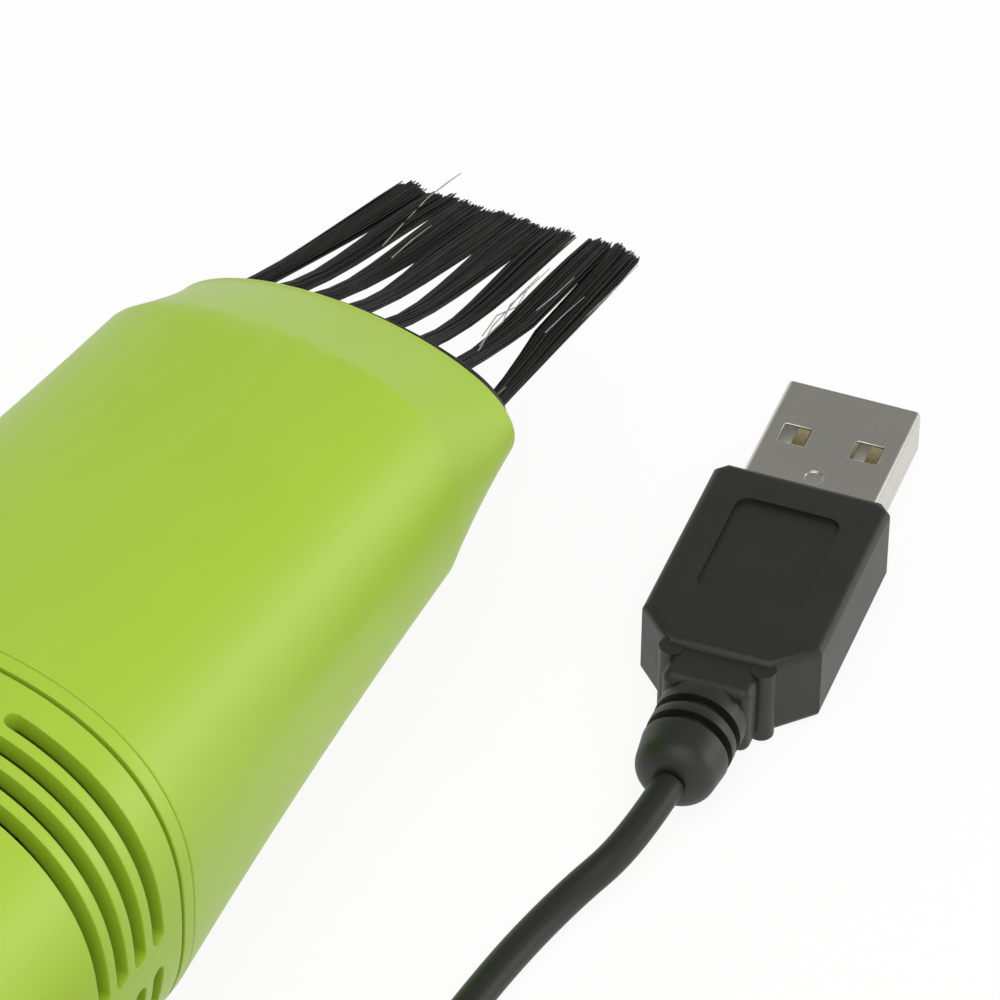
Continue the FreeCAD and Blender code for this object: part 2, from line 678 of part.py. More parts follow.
def intake_plate():
    """Plate with the visible band, the spigot for the cup and the air eye of the fan."""
    width, height, power = size("body_half_width"), size("body_half_height"), size("body_power")
    wall = size("housing_wall")
    front, rear = station("band_front"), station("band_rear")
    band = oval_block(front, rear, width, height, power).common(above_table())
    inset = wall + size("neck_gap")
    neck_rear = station("housing_front") - size("neck_length")
    neck = oval_block(rear, neck_rear, width - inset, height - inset, power)
    collar = oval_block(rear, station("housing_front"), width - size("groove_depth"),
                        height - size("groove_depth"), power)
    spigot = Part.makeLoft(spigot_outlines(), True, True)
    bore_w, bore_h = spigot_bore_half_sizes()
    bore = oval_block(station("spigot_front") + OVERCUT, station("filter_rear"), bore_w, bore_h,
                      power)
    ledge = size("filter_ledge")
    web_front = rear
    plenum = oval_block(station("filter_rear"), web_front, bore_w - ledge, bore_h - ledge, power)
    web_rear = web_front - size("web_thickness")
    rear_bore = oval_block(web_rear, neck_rear - OVERCUT, width - inset - size("spigot_wall"),
                           height - inset - size("spigot_wall"), power)
    eye = rod(FreeCAD.Vector(web_rear - OVERCUT, 0, 0), size("web_thickness") + 2 * OVERCUT,
              size("eye_radius"))
    seal_front, seal_rear = seal_range()
    groove_outer = oval_block(seal_front, seal_rear, width, height, power)
    floor = cup_inside(seal_front, size("spigot_gap") + size("seal_groove"))
    groove_inner = oval_block(seal_front, seal_rear, *floor, power)
    plate = band.fuse([neck, collar, spigot])
    plate = plate.cut([bore, plenum, rear_bore, eye, groove_outer.cut(groove_inner)])
    hub = rod(FreeCAD.Vector(web_rear, 0, 0), size("web_thickness"), size("spoke_hub_radius"))
    spokes = [hub]
    count = int(size("spoke_count"))
    for index in range(count):
        # the spokes cross the whole eye and root a little into the web
        spoke = middle_block((web_rear + size("web_thickness") / 2, 0, 0), size("web_thickness"),
                             2 * (size("eye_radius") + size("spoke_root")), size("spoke_width"))
        spoke.rotate(FreeCAD.Vector(0, 0, 0), FreeCAD.Vector(1, 0, 0), index * 180 / count)
        spokes.append(spoke)
    return piece("intake_plate", plate.fuse(spokes).removeSplitter())


def cup_seal():
    """Rubber ring in the spigot's groove."""
    seal_front, seal_rear = seal_range()
    gap, power = size("press_gap"), size("body_power")
    outside = cup_inside(seal_front, size("seal_clear"))
    inside = cup_inside(seal_front, size("spigot_gap") + size("seal_groove") - gap)
    outer = oval_block(seal_front - gap, seal_rear + gap, *outside, power)
    inner = oval_block(seal_front + OVERCUT, seal_rear - OVERCUT, *inside, power)
    return piece("cup_seal", outer.cut(inner))


def filter_frame():
    """Frame of the filter: oval ring, cross bars and a pull tab."""
    bore_w, bore_h = spigot_bore_half_sizes()
    gap, rim, power = size("filter_gap"), size("filter_rim"), size("body_power")
    front, rear = station("spigot_front") - gap, station("filter_rear") + gap
    bar = size("filter_bar")
    ring = oval_block(front, rear, bore_w - gap, bore_h - gap, power)
    hollow = oval_block(front + OVERCUT, rear - OVERCUT, bore_w - gap - rim, bore_h - gap - rim,
                        power)
    upright = middle_block((front - bar / 2, 0, 0), bar, bar, 2 * (bore_h - gap) - rim)
    level = middle_block((front - bar / 2, 0, 0), bar, 2 * (bore_w - gap) - rim, bar)
    tab = middle_block((front + size("tab_height") / 2, 0, 0), size("tab_height"),
                       size("tab_width"), size("tab_thickness"))
    return piece("filter_frame", ring.cut(hollow).fuse([upright, level, tab]).removeSplitter())


def filter_cloth():
    """Disc of filter cloth stretched behind the cross bars."""
    bore_w, bore_h = spigot_bore_half_sizes()
    inset = size("filter_gap") + size("filter_rim") + size("press_gap")
    front = station("spigot_front") - size("filter_gap") - size("filter_bar")
    disc = oval_block(front, front - size("cloth_thickness"), bore_w - inset, bore_h - inset,
                      size("body_power"))
    return piece("filter_cloth", disc)


# ---------------------------------------------------------------- motor housing

def housing_form(inset, extra_front=0.0):
    """Barrel and rounded tail, drawn in by inset."""
    width, height = size("body_half_width") - inset, size("body_half_height") - inset
    power = size("body_power")
    front, rear = station("housing_front") + extra_front, station("barrel_rear")
    turn = math.radians(size("dome_turn"))
    depth = size("dome_length") / math.sin(turn) - inset
    sections = []
    for step in reversed(range(DOME_SECTIONS)):
        angle = turn * step / (DOME_SECTIONS - 1)
        shrink = math.cos(angle)
        sections.append(oval(rear - depth * math.sin(angle), width * shrink, height * shrink, power))
    barrel = oval_block(front, rear, width, height, power)
    return barrel.fuse(Part.makeLoft(sections, True, False))


def vent_cutter(side, level):
    """Cutter of one ring slot about x = 0, half-round at its ends beside strip and rib."""
    radius = size("vent_width") / 2
    width, height = size("body_half_width") + OVERCUT, size("body_half_height") + OVERCUT
    rib = size("vent_rib_top") if level > 0 else size("vent_rib_bottom")
    end_y, end_z = side * (size("vent_strip") + radius), level * (rib + radius)
    corner = FreeCAD.Vector(0, end_y, end_z)
    slab = block((-radius, radius), sorted((end_y, side * width)), sorted((end_z, level * height)))
    strip_end = rod(corner, height, radius, FreeCAD.Vector(0, 0, level))
    rib_end = rod(corner, width, radius, FreeCAD.Vector(0, side, 0))
    return slab.fuse([strip_end, rib_end])


def vent_cutters():
    """Cutters of the ring slots: two quarters above the parting plane, two below."""
    cutters = []
    for side, level in ((-1, 1), (1, 1), (-1, -1), (1, -1)):
        one = vent_cutter(side, level)
        for index in range(int(size("vent_count"))):
            x = station("housing_front") - size("vent_lead") - index * size("vent_pitch")
            cutters.append(one.translated(FreeCAD.Vector(x, 0, 0)))
    return cutters


def boss_places():
    """Middle of each screw boss on the parting plane."""
    spread = size("boss_spread")
    return [FreeCAD.Vector(station("boss_middle"), side * spread, 0) for side in (-1, 1)]


def cradle_rib(inner_form):
    """Rib that holds the rear of the motor can, notched for the leads."""
    front = station("cradle_front")
    rear = front - size("cradle_thickness")
    reach = size("body_half_width") + OVERCUT
    slab = block((rear, front), (-reach, reach), (-reach, reach)).common(inner_form)
    bore = rod(FreeCAD.Vector(rear - OVERCUT, 0, 0), size("cradle_thickness") + 2 * OVERCUT,
               size("motor_radius") + size("cradle_gap"))
    notch = middle_block(((front + rear) / 2, 0, reach / 2), size("cradle_thickness") + OVERCUT,
                         size("lead_notch"), reach)
    return slab.cut([bore, notch])


def plate_groove():
    """Room in the housing wall for the edge of the motor plate."""
    reach = size("housing_wall") - size("plate_key") - size("plate_gap")
    return oval_block(station("plate_front") + size("plate_gap"),
                      station("motor_front") - size("plate_gap"),
                      size("body_half_width") - reach, size("body_half_height") - reach,
                      size("body_power"))


def housing_shell():
    """The whole housing wall before it is parted into two halves."""
    outer = housing_form(0)
    inner = housing_form(size("housing_wall"))
    front = station("housing_front")
    entry = oval_block(front + OVERCUT, front - OVERCUT, size("body_half_width") - size("housing_wall"),
                       size("body_half_height") - size("housing_wall"), size("body_power"))
    neck_hole = rod(FreeCAD.Vector(station("tail") - OVERCUT, 0, 0), size("dome_length"),
                    size("boot_neck_radius") + size("press_gap"))
    bosses = []
    for place in boss_places():
        height = 2 * size("body_half_height")
        post = rod(place - FreeCAD.Vector(0, 0, height / 2), height, size("boss_radius"),
                   FreeCAD.Vector(0, 0, 1))
        bosses.append(post.common(outer))
    shell = outer.cut([inner, entry]).fuse(bosses + [cradle_rib(inner)])
    return shell.cut(vent_cutters() + [plate_groove(), neck_hole]).common(above_table())


def switch_cuts():
    """Recess for the knob and the slot for its stem."""
    x, gap, travel = station("switch_middle"), size("knob_gap"), size("switch_travel")
    top = size("body_half_height")
    recess = middle_block((x, 0, top), size("knob_length") + travel + 2 * gap,
                          size("knob_width") + 2 * gap, 2 * size("recess_depth"))
    slot = middle_block((x, 0, top), size("stem_length") + travel + 2 * gap,
                        size("stem_width") + gap, 4 * size("housing_wall"))
    return [recess, slot]


def switch_top():
    """Height of the top of the switch case over the axis."""
    return size("body_half_height") - size("switch_below")


def switch_pocket():
    """Walls under the roof that hold the switch case."""
    fit, skirt = size("switch_fit"), size("switch_skirt")
    length, width = size("switch_length") + 2 * fit, size("switch_width") + 2 * fit
    roof = size("body_half_height") - size("housing_wall") / 2
    low = switch_top() - size("pocket_depth")
    centre = (station("switch_middle"), 0, (roof + low) / 2)
    walls = middle_block(centre, length + 2 * skirt, width + 2 * skirt, roof - low)
    room = middle_block((centre[0], 0, (switch_top() + fit + low) / 2 - OVERCUT), length, width,
                        switch_top() + fit - low + 2 * OVERCUT)
    return walls, room


def housing_top(shell):
    """Upper half: switch recess, switch pocket and pilot holes for the screws."""
    half = shell.common(block((-far(), far()), (-far(), far()), (0, far())))
    walls, room = switch_pocket()
    depth = size("screw_length") - size("screw_seat") + size("pilot_spare")
    pilots = [rod(place, depth, size("screw_radius") + size("screw_gap"), FreeCAD.Vector(0, 0, 1))
              for place in boss_places()]
    half = half.fuse(walls).cut([room] + switch_cuts() + pilots)
    return piece("housing_top", half.removeSplitter())


def housing_bottom(shell):
    """Lower half: belly flat and countersunk seats for the screws."""
    half = shell.common(block((-far(), far()), (-far(), far()), (-far(), 0)))
    up = FreeCAD.Vector(0, 0, 1)
    holes = []
    for place in boss_places():
        floor = place - up * size("body_half_height")
        holes.append(rod(floor, size("body_half_height"), size("screw_radius") + size("hole_gap"), up))
        holes.append(rod(floor, size("body_half_height") - size("screw_seat"),
                         size("screw_head_radius") + size("hole_gap"), up))
    return piece("housing_bottom", half.cut(holes).removeSplitter())


def screw(head_radius, head_height, shank_radius, length):
    """Pan-head screw with a cross recess, head down, seat at zero and shank towards +Z."""
    up = FreeCAD.Vector(0, 0, 1)
    head = rod(FreeCAD.Vector(0, 0, -head_height), head_height, head_radius, up)
    shank = rod(FreeCAD.Vector(0, 0, 0), length - shank_radius, shank_radius, up)
    blunt = shank_radius / 3
    point = Part.makeCone(shank_radius, blunt, shank_radius,
                          FreeCAD.Vector(0, 0, length - shank_radius))
    # the cross recess is cut half way through the head
    reach, arm = head_radius * size("cross_reach"), head_radius * size("cross_arm")
    cross = [middle_block((0, 0, -head_height), reach, arm, head_height),
             middle_block((0, 0, -head_height), arm, reach, head_height)]
    return head.fuse([shank, point]).cut(cross)


def housing_screws():
    """Two self-tapping screws that draw the halves together from below."""
    screws = []
    for place in boss_places():
        one = screw(size("screw_head_radius"), size("screw_head_height"), size("screw_radius"),
                    size("screw_length"))
        one.translate(place - FreeCAD.Vector(0, 0, size("screw_seat")))
        screws.append(one)
    return piece("housing_screws", Part.makeCompound(screws))


# ---------------------------------------------------------------- fan

def impeller():
    """Open radial fan: hub, back disc and swept blades."""
    body = new_body("impeller")
    turn_about_axis(body, [
        ("0", "shaft_radius + press_gap"),
        ("0", "hub_radius - hub_bevel"),
        ("-hub_bevel", "hub_radius"),
        ("-hub_length + fan_disc", "hub_radius"),
        ("-hub_length + fan_disc", "fan_radius"),
        ("-hub_length", "fan_radius"),
        ("-hub_length", "shaft_radius + press_gap"),
    ], "fan_wheel")
    sketch = new_sketch(body, "blade_outline", "YZ_Plane")
    blade_profile(sketch)
    pad = body.newObject("PartDesign::Pad", "blade")
    pad.Profile = sketch
    bind(pad, "Length", "hub_length")
    pad.Reversed = True
    DOC.recompute()
    pattern = body.newObject("PartDesign::PolarPattern", "blades")
    pattern.Originals = [pad]
    pattern.Axis = (next(o for o in body.Origin.OriginFeatures if o.Role == "X_Axis"), [""])
    pattern.Angle = 360
    bind(pattern, "Occurrences", "blade_count")
    body.Tip = pattern
    seat(body, "fan_front")
    return body


def blade_profile(sketch):
    """Curved strip between two arcs, from the hub to the edge of the disc."""
    root, tip = size("blade_root"), size("fan_radius") - size("blade_setback")
    sweep, bow, half = size("blade_sweep"), size("blade_bow"), size("blade_thickness") / 2
    middle = (root + tip) / 2
    upper = Part.Arc(FreeCAD.Vector(root, half, 0), FreeCAD.Vector(middle, sweep / 2 + bow + half, 0),
                     FreeCAD.Vector(tip, sweep + half, 0))
    lower = Part.Arc(FreeCAD.Vector(root, -half, 0), FreeCAD.Vector(middle, sweep / 2 + bow - half, 0),
                     FreeCAD.Vector(tip, sweep - half, 0))
    ends = [Part.LineSegment(FreeCAD.Vector(root, -half, 0), FreeCAD.Vector(root, half, 0)),
            Part.LineSegment(FreeCAD.Vector(tip, sweep - half, 0), FreeCAD.Vector(tip, sweep + half, 0))]
    sketch.addGeometry([upper, lower] + ends, False)


# ---------------------------------------------------------------- motor

def motor_can():
    """Drawn steel can, closed at the front round the bearing collar, tapped for its screws."""
    body = new_body("motor_can")
    turn_about_axis(body, [
        ("collar_length", "bearing_radius + press_gap"),
        ("collar_length", "collar_radius"),
        ("0", "collar_radius"),
        ("0", "motor_radius - can_bevel"),
        ("-can_bevel", "motor_radius"),
        ("-motor_length", "motor_radius"),
        ("-motor_length", "motor_radius - motor_wall"),
        ("-motor_wall", "motor_radius - motor_wall"),
        ("-motor_wall", "bearing_radius + press_gap"),
    ], "can")
    taps = new_sketch(body, "tap_outline", "YZ_Plane")
    for side in ("", "-"):
        circle(taps, ("0", f"{side}mount_screw_spread"), "mount_screw_radius + screw_gap")
    holes = body.newObject("PartDesign::Pocket", "taps")
    holes.Profile = taps
    bind(holes, "Length", "2 * motor_wall")
    body.Tip = holes
    seat(body, "motor_front")
    return body


def motor_end_cap():
    """Moulded cap that closes the can and holds the rear bearing."""
    return turned("motor_end_cap", "motor_rear", [
        ("cap_spigot", "bearing_radius + press_gap"),
        ("cap_spigot", "motor_radius - motor_wall - press_gap"),
        ("0", "motor_radius - motor_wall - press_gap"),
        ("0", "motor_radius - cap_step"),
        ("cap_bevel - cap_thickness", "motor_radius - cap_step"),
        ("-cap_thickness", "motor_radius - cap_step - cap_bevel"),
        ("-cap_thickness", "bearing_radius + press_gap"),
    ])


def bearing(name, at, front, rear):
    """Sintered bush pressed into its seat, with the shaft's running gap."""
    return turned(name, at, [
        (front, "shaft_radius + shaft_gap"),
        (front, "bearing_radius"),
        (rear, "bearing_radius"),
        (rear, "shaft_radius + shaft_gap"),
    ])


def motor_shaft():
    """Steel shaft through the impeller, both bearings and the armature."""
    return turned("motor_shaft", "motor_front", [
        ("shaft_front", "0"),
        ("shaft_front", "shaft_radius - shaft_bevel"),
        ("shaft_front - shaft_bevel", "shaft_radius"),
        ("-motor_length - shaft_rear", "shaft_radius"),
        ("-motor_length - shaft_rear", "0"),
    ])


def armature_core():
    """Three-pole laminated core."""
    body = new_body("armature_core")
    turn_about_axis(body, [
        ("0", "shaft_radius + press_gap"),
        ("0", "motor_radius - motor_wall - magnet_thickness - air_gap"),
        ("-core_length", "motor_radius - motor_wall - magnet_thickness - air_gap"),
        ("-core_length", "shaft_radius + press_gap"),
    ], "core")
    sketch = new_sketch(body, "pole_slot_outline", "YZ_Plane")
    outline(sketch, [
        ("motor_radius", "-pole_slot / 2"),
        ("motor_radius", "pole_slot / 2"),
        ("motor_radius - motor_wall - magnet_thickness - air_gap - pole_slot_depth", "pole_slot / 2"),
        ("motor_radius - motor_wall - magnet_thickness - air_gap - pole_slot_depth", "-pole_slot / 2"),
    ])
    pocket = body.newObject("PartDesign::Pocket", "pole_slot_cut")
    pocket.Profile = sketch
    bind(pocket, "Length", "core_length")
    DOC.recompute()
    pattern = body.newObject("PartDesign::PolarPattern", "pole_slots")
    pattern.Originals = [pocket]
    pattern.Axis = (next(o for o in body.Origin.OriginFeatures if o.Role == "X_Axis"), [""])
    pattern.Angle = 360
    bind(pattern, "Occurrences", "pole_count")
    body.Tip = pattern
    seat(body, "core_front")
    return body


def commutator():
    """Copper commutator behind the armature."""
    return turned("commutator", "core_rear", [
        ("-commutator_gap", "shaft_radius + press_gap"),
        ("-commutator_gap", "commutator_radius"),
        ("-commutator_gap - commutator_length", "commutator_radius"),
        ("-commutator_gap - commutator_length", "shaft_radius + press_gap"),
    ])


def motor_magnets():
    """Two ferrite arcs inside the can."""
    outer_radius = size("motor_radius") - size("motor_wall") - size("press_gap")
    inner_radius = outer_radius - size("magnet_thickness")
    rear = station("core_front") - size("core_length") / 2 - size("magnet_length") / 2
    ring = rod(FreeCAD.Vector(rear, 0, 0), size("magnet_length"), outer_radius)
    through = size("magnet_length") + 2 * OVERCUT
    hole = rod(FreeCAD.Vector(rear - OVERCUT, 0, 0), through, inner_radius)
    notch = middle_block((rear + size("magnet_length") / 2, 0, 0), through,
                         2 * (outer_radius + OVERCUT), size("magnet_notch"))
    return piece("motor_magnets", ring.cut([hole, notch]))


def motor_terminals():
    """Two brass tabs in the end cap."""
    rear = station("motor_rear") - size("cap_thickness")
    tabs = []
    for side in (-1, 1):
        centre = (rear - size("tab_length") / 2, side * size("tab_spread"), 0)
        tabs.append(middle_block(centre, size("tab_length"), size("tab_thick"), size("tab_wide")))
    return piece("motor_terminals", Part.makeCompound(tabs))


def motor_plate():
    """Plate between the fan chamber and the motor, keyed into the housing wall."""
    reach = size("housing_wall") - size("plate_key")
    plate = oval_block(station("plate_front"), station("motor_front"),
                       size("body_half_width") - reach, size("body_half_height") - reach,
                       size("body_power"))
    rear = station("motor_front") - OVERCUT
    through = size("plate_thickness") + 2 * OVERCUT
    holes = [rod(FreeCAD.Vector(rear, 0, 0), through, size("collar_radius") + size("plate_gap"))]
    for side in (-1, 1):
        holes.append(rod(FreeCAD.Vector(rear, 0, side * size("mount_screw_spread")), through,
                         size("mount_screw_radius") + size("screw_gap")))
    return piece("motor_plate", plate.cut(holes))


def motor_screws():
    """Two short screws through the plate, threaded into the front of the motor can."""
    screws = []
    for side in (-1, 1):
        one = screw(size("mount_screw_head"), size("mount_head_height"), size("mount_screw_radius"),
                    size("plate_thickness") + size("mount_screw_bite"))
        one.rotate(FreeCAD.Vector(0, 0, 0), FreeCAD.Vector(0, 1, 0), -90)
        one.translate(FreeCAD.Vector(station("plate_front"), 0, side * size("mount_screw_spread")))
        screws.append(one)
    return piece("motor_screws", Part.makeCompound(screws))


# ---------------------------------------------------------------- switch

def switch_body():
    """Case of the slide switch with the slot for its actuator."""
    top = switch_top()
    x = station("switch_middle")
    case = middle_block((x, 0, top - size("switch_height") / 2), size("switch_length"),
                        size("switch_width"), size("switch_height"))
    gap = size("knob_gap")
    room = middle_block((x, 0, top), size("stem_length") + size("switch_travel") + 2 * gap,
                        size("stem_width") + gap, 2 * (size("stem_reach") + gap))
    return piece("switch_body", case.cut(room))


def switch_pins():
    """Three solder pins under the switch."""
    low = switch_top() - size("switch_height")
    pins = []
    for index in (-1, 0, 1):
        centre = (station("switch_middle") + index * size("pin_pitch"), 0, low - size("pin_reach") / 2)
        pins.append(middle_block(centre, size("pin_width"), size("pin_thickness"),
                                 size("pin_reach")))
    return piece("switch_pins", Part.makeCompound(pins))


def switch_knob():
    """Ribbed knob in its recess, with the stem that moves the switch; drawn switched off."""
    x = station("switch_middle") - size("switch_travel") / 2
    low = size("body_half_height") - size("recess_depth") + size("knob_lift")
    high = low + size("knob_height")
    pad = middle_block((x, 0, (low + high) / 2), size("knob_length"), size("knob_width"),
                       size("knob_height"))
    upright = [edge for edge in pad.Edges if abs(edge.tangentAt(edge.FirstParameter).z) > 0.9]
    pad = pad.makeFillet(size("knob_corner"), upright)
    stem_low = switch_top() - size("stem_reach")
    stem = middle_block((x, 0, (stem_low + low) / 2), size("stem_length"), size("stem_width"),
                        low - stem_low)
    ribs = []
    count = int(size("knob_rib_count"))
    for index in range(count):
        rib_x = x + (index - (count - 1) / 2) * size("knob_rib_pitch")
        rib_low, rib_high = high - size("knob_rib_root"), high + size("knob_rib_height")
        ribs.append(middle_block((rib_x, 0, (rib_low + rib_high) / 2), size("knob_rib_width"),
                                 size("knob_rib_length"), rib_high - rib_low))
    return piece("switch_knob", pad.fuse([stem] + ribs).removeSplitter())


# ---------------------------------------------------------------- tail boot and lead

def cable_boot():
    """Rubber boot moulded on the lead: flange inside the tail, ringed cone outside."""
    corners = [("housing_wall + boot_flange", "0"),
               ("housing_wall + boot_flange", "boot_flange_radius"),
               ("housing_wall + press_gap", "boot_flange_radius"),
               ("housing_wall + press_gap", "boot_neck_radius"),
               ("-press_gap", "boot_neck_radius"),
               ("-press_gap", "boot_radius")]
    slope = "(boot_radius - boot_end_radius) / boot_length"
    for index in range(int(size("boot_ring_count"))):
        start = f"boot_ring_first + {index} * boot_ring_pitch"
        end = f"{start} + boot_ring_width"
        corners += [
            (f"-({start})", f"boot_radius - ({start}) * {slope}"),
            (f"-({start})", f"boot_radius - ({start}) * {slope} - boot_ring_depth"),
            (f"-({end})", f"boot_radius - ({end}) * {slope} - boot_ring_depth"),
            (f"-({end})", f"boot_radius - ({end}) * {slope}"),
        ]
    corners += [("-boot_length", "boot_end_radius"), ("-boot_length", "0")]
    return turned("cable_boot", "tail", corners)


def cable_clamp():
    """Crimp ring that stops the lead from being pulled out of the tail."""
    start = "housing_wall + boot_flange + clamp_setback"
    return turned("cable_clamp", "tail", [
        (start, "cord_diameter / 2 + press_gap"),
        (start, "clamp_radius"),
        (f"{start} + clamp_length", "clamp_radius"),
        (f"{start} + clamp_length", "cord_diameter / 2 + press_gap"),
    ])


def cable_jacket_end():
    """Stripped end of the lead's jacket inside the tail."""
    end = "housing_wall + boot_flange + clamp_setback + clamp_length + jacket_show"
    return turned("cable_jacket_end", "tail", [
        ("housing_wall + boot_flange", "0"),
        ("housing_wall + boot_flange", "cord_diameter / 2"),
        (end, "cord_diameter / 2"),
        (end, "0"),
    ])


def rounded_path(points, label):
    """Straight runs joined by tangent arcs as large as their runs allow."""
    corners = [FreeCAD.Vector(*point) for point in points]
    edges = []
    radii = []
    here = corners[0]
    for before, corner, after in zip(corners, corners[1:], corners[2:]):
        inward = corner - before
        outward = after - corner
        cut = 0.45 * min(inward.Length, outward.Length)
        half_turn = inward.getAngle(outward) / 2
        radii.append(cut / math.tan(half_turn))
        inward.normalize()
        outward.normalize()
        start = corner - inward * cut
        end = corner + outward * cut
        sideways = (outward - inward).normalize()
        middle = corner + sideways * radii[-1] * (1 / math.cos(half_turn) - 1)
        edges.append(Part.LineSegment(here, start).toShape())
        edges.append(Part.Arc(start, middle, end).toShape())
        here = end
    edges.append(Part.LineSegment(here, corners[-1]).toShape())
    print(label, "arc radii", [round(radius, 1) for radius in radii])
    return Part.Wire(edges)


def tube(points, diameter, label):
    """Round tube along a route of runs and arcs."""
    path = rounded_path(points, label)
    start = FreeCAD.Vector(*points[0])
    direction = FreeCAD.Vector(*points[1]) - start
    ring = Part.Wire([Part.Circle(start, direction, diameter / 2).toShape()])
    solid = path.makePipeShell([ring], True, False)
    expected = math.pi * diameter ** 2 / 4 * path.Length
    print(label, "length", round(path.Length, 1), "volume share", round(solid.Volume / expected, 4))
    return solid


def laid_piece(name, shape):
    """A sub-part that is drawn over the table, with its zero under the crease."""
    obj = DOC.addObject("Part::Feature", name)
    obj.Label = name
    obj.Shape = shape
    obj.Placement = FreeCAD.Placement(FreeCAD.Vector(crease_x(), 0, 0), FreeCAD.Rotation())
    return obj


def usb_cable():
    """The two stretches of lead that lie free."""
    laid_piece("usb_cable_front", tube(FRONT_ROUTE, size("cord_diameter"), "front lead"))
    laid_piece("usb_cable_rear", tube(REAR_ROUTE, size("cord_diameter"), "rear lead"))
    turns = int(size("coil_columns") * size("coil_layers")) - 1
    print("coil", turns, "turns, length", round(turns * 2 * math.pi * size("coil_mid_radius"), 1))


def cable_coil():
    """Outer shape of the neat coil that takes up the rest of the lead."""
    outer = DOC.addObject("Part::Cylinder", "coil_outside")
    inner = DOC.addObject("Part::Cylinder", "coil_inside")
    bind(outer, "Radius", "coil_mid_radius + coil_columns * cord_diameter / 2")
    bind(inner, "Radius", "coil_mid_radius - coil_columns * cord_diameter / 2")
    for cylinder in (outer, inner):
        bind(cylinder, "Height", "coil_layers * cord_diameter")
    ring = DOC.addObject("Part::Cut", "cable_coil")
    ring.Label = "cable_coil"
    ring.Base = outer
    ring.Tool = inner
    bind(ring, "Placement.Base.x", f"{crease_formula()} + ({station_formula('coil_middle')})")
    bind(ring, "Placement.Base.y", "-coil_aside")
    bind(ring, "Placement.Base.z", "tie_thickness")
    return ring


def coil_tie():
    """Flat tie wrapped round the coil's section."""
    half = size("coil_columns") * size("cord_diameter") / 2
    height = size("coil_layers") * size("cord_diameter")
    thick, gap = size("tie_thickness"), size("press_gap")
    middle = (station("coil_middle") - size("coil_mid_radius"), -size("coil_aside"),
              thick + height / 2)
    inside = 2 * half + size("tie_slack")
    band = middle_block(middle, inside + 2 * thick, size("tie_width"), height + 2 * thick)
    room = middle_block(middle, inside, size("tie_width") + OVERCUT, height + 2 * gap)
    return laid_piece("coil_tie", band.cut(room))


def inner_leads():
    """Insulated leads: supply to the switch, switch to the motor and motor back."""
    stack = ("housing_wall", "boot_flange", "clamp_setback", "clamp_length", "jacket_show")
    clear, radius = size("lead_clear"), size("inner_lead") / 2
    start = station("tail") + sum(size(name) for name in stack) + radius + clear
    pin_x = station("switch_middle")
    rear_pin = pin_x - size("pin_pitch") - size("pin_width") / 2 - clear
    over = size("motor_radius") + radius + clear
    tab_x = station("motor_rear") - size("cap_thickness") - size("tab_length") / 2
    tab_y = size("tab_spread")
    routes = {
        "lead_supply": ((start, 0.6, 0.8), (start + 0.4, 1.0, 4.5), (start + 1.2, 1.4, 10.0),
                        (start + 4.5, 1.4, over + 0.7), (rear_pin - 5.5, 0.8, over + 0.2),
                        (rear_pin, 0.0, over)),
        "lead_motor": ((pin_x, -1.0, over), (pin_x - 2.0, -1.6, over - 0.1),
                       (pin_x - 8.0, -1.7, over), (start + 3.4, -1.8, over + 0.3),
                       (start + 1.4, -4.4, 9.0), (start + 1.6, -7.4, 5.2),
                       (tab_x, -tab_y, 1.2 + clear)),
        "lead_return": ((start, 0.6, -0.8), (start + 0.8, 2.6, -1.4), (start + 1.2, 5.2, -1.0),
                        (tab_x, tab_y - 0.5 - clear, 0.0)),
    }
    for name, route in routes.items():
        piece(name, tube(route, size("inner_lead"), name))


# ---------------------------------------------------------------- USB plug

def place_on_plug(obj):
    """Seat a piece that is drawn from the plug's tip backwards."""
    bind(obj, "Placement.Base.x", f"{crease_formula()} + ({station_formula('plug_tip')})")
    bind(obj, "Placement.Base.y", "-plug_aside")
    bind(obj, "Placement.Base.z", "grip_height / 2")
    bind(obj, "Placement.Rotation.Angle", "plug_yaw")


def rectangle(sketch, x_range, y_range):
    """Rectangle between two corners given as formulas."""
    low_x, high_x = x_range
    low_y, high_y = y_range
    outline(sketch, [(low_x, low_y), (high_x, low_y), (high_x, high_y), (low_x, high_y)])


def pad_up(body, sketch, name, length, midplane=True):
    """Pad a sketch, by default half to each side."""
    pad = body.newObject("PartDesign::Pad", name)
    pad.Profile = sketch
    bind(pad, "Length", length)
    pad.Midplane = midplane
    body.Tip = pad
    return pad


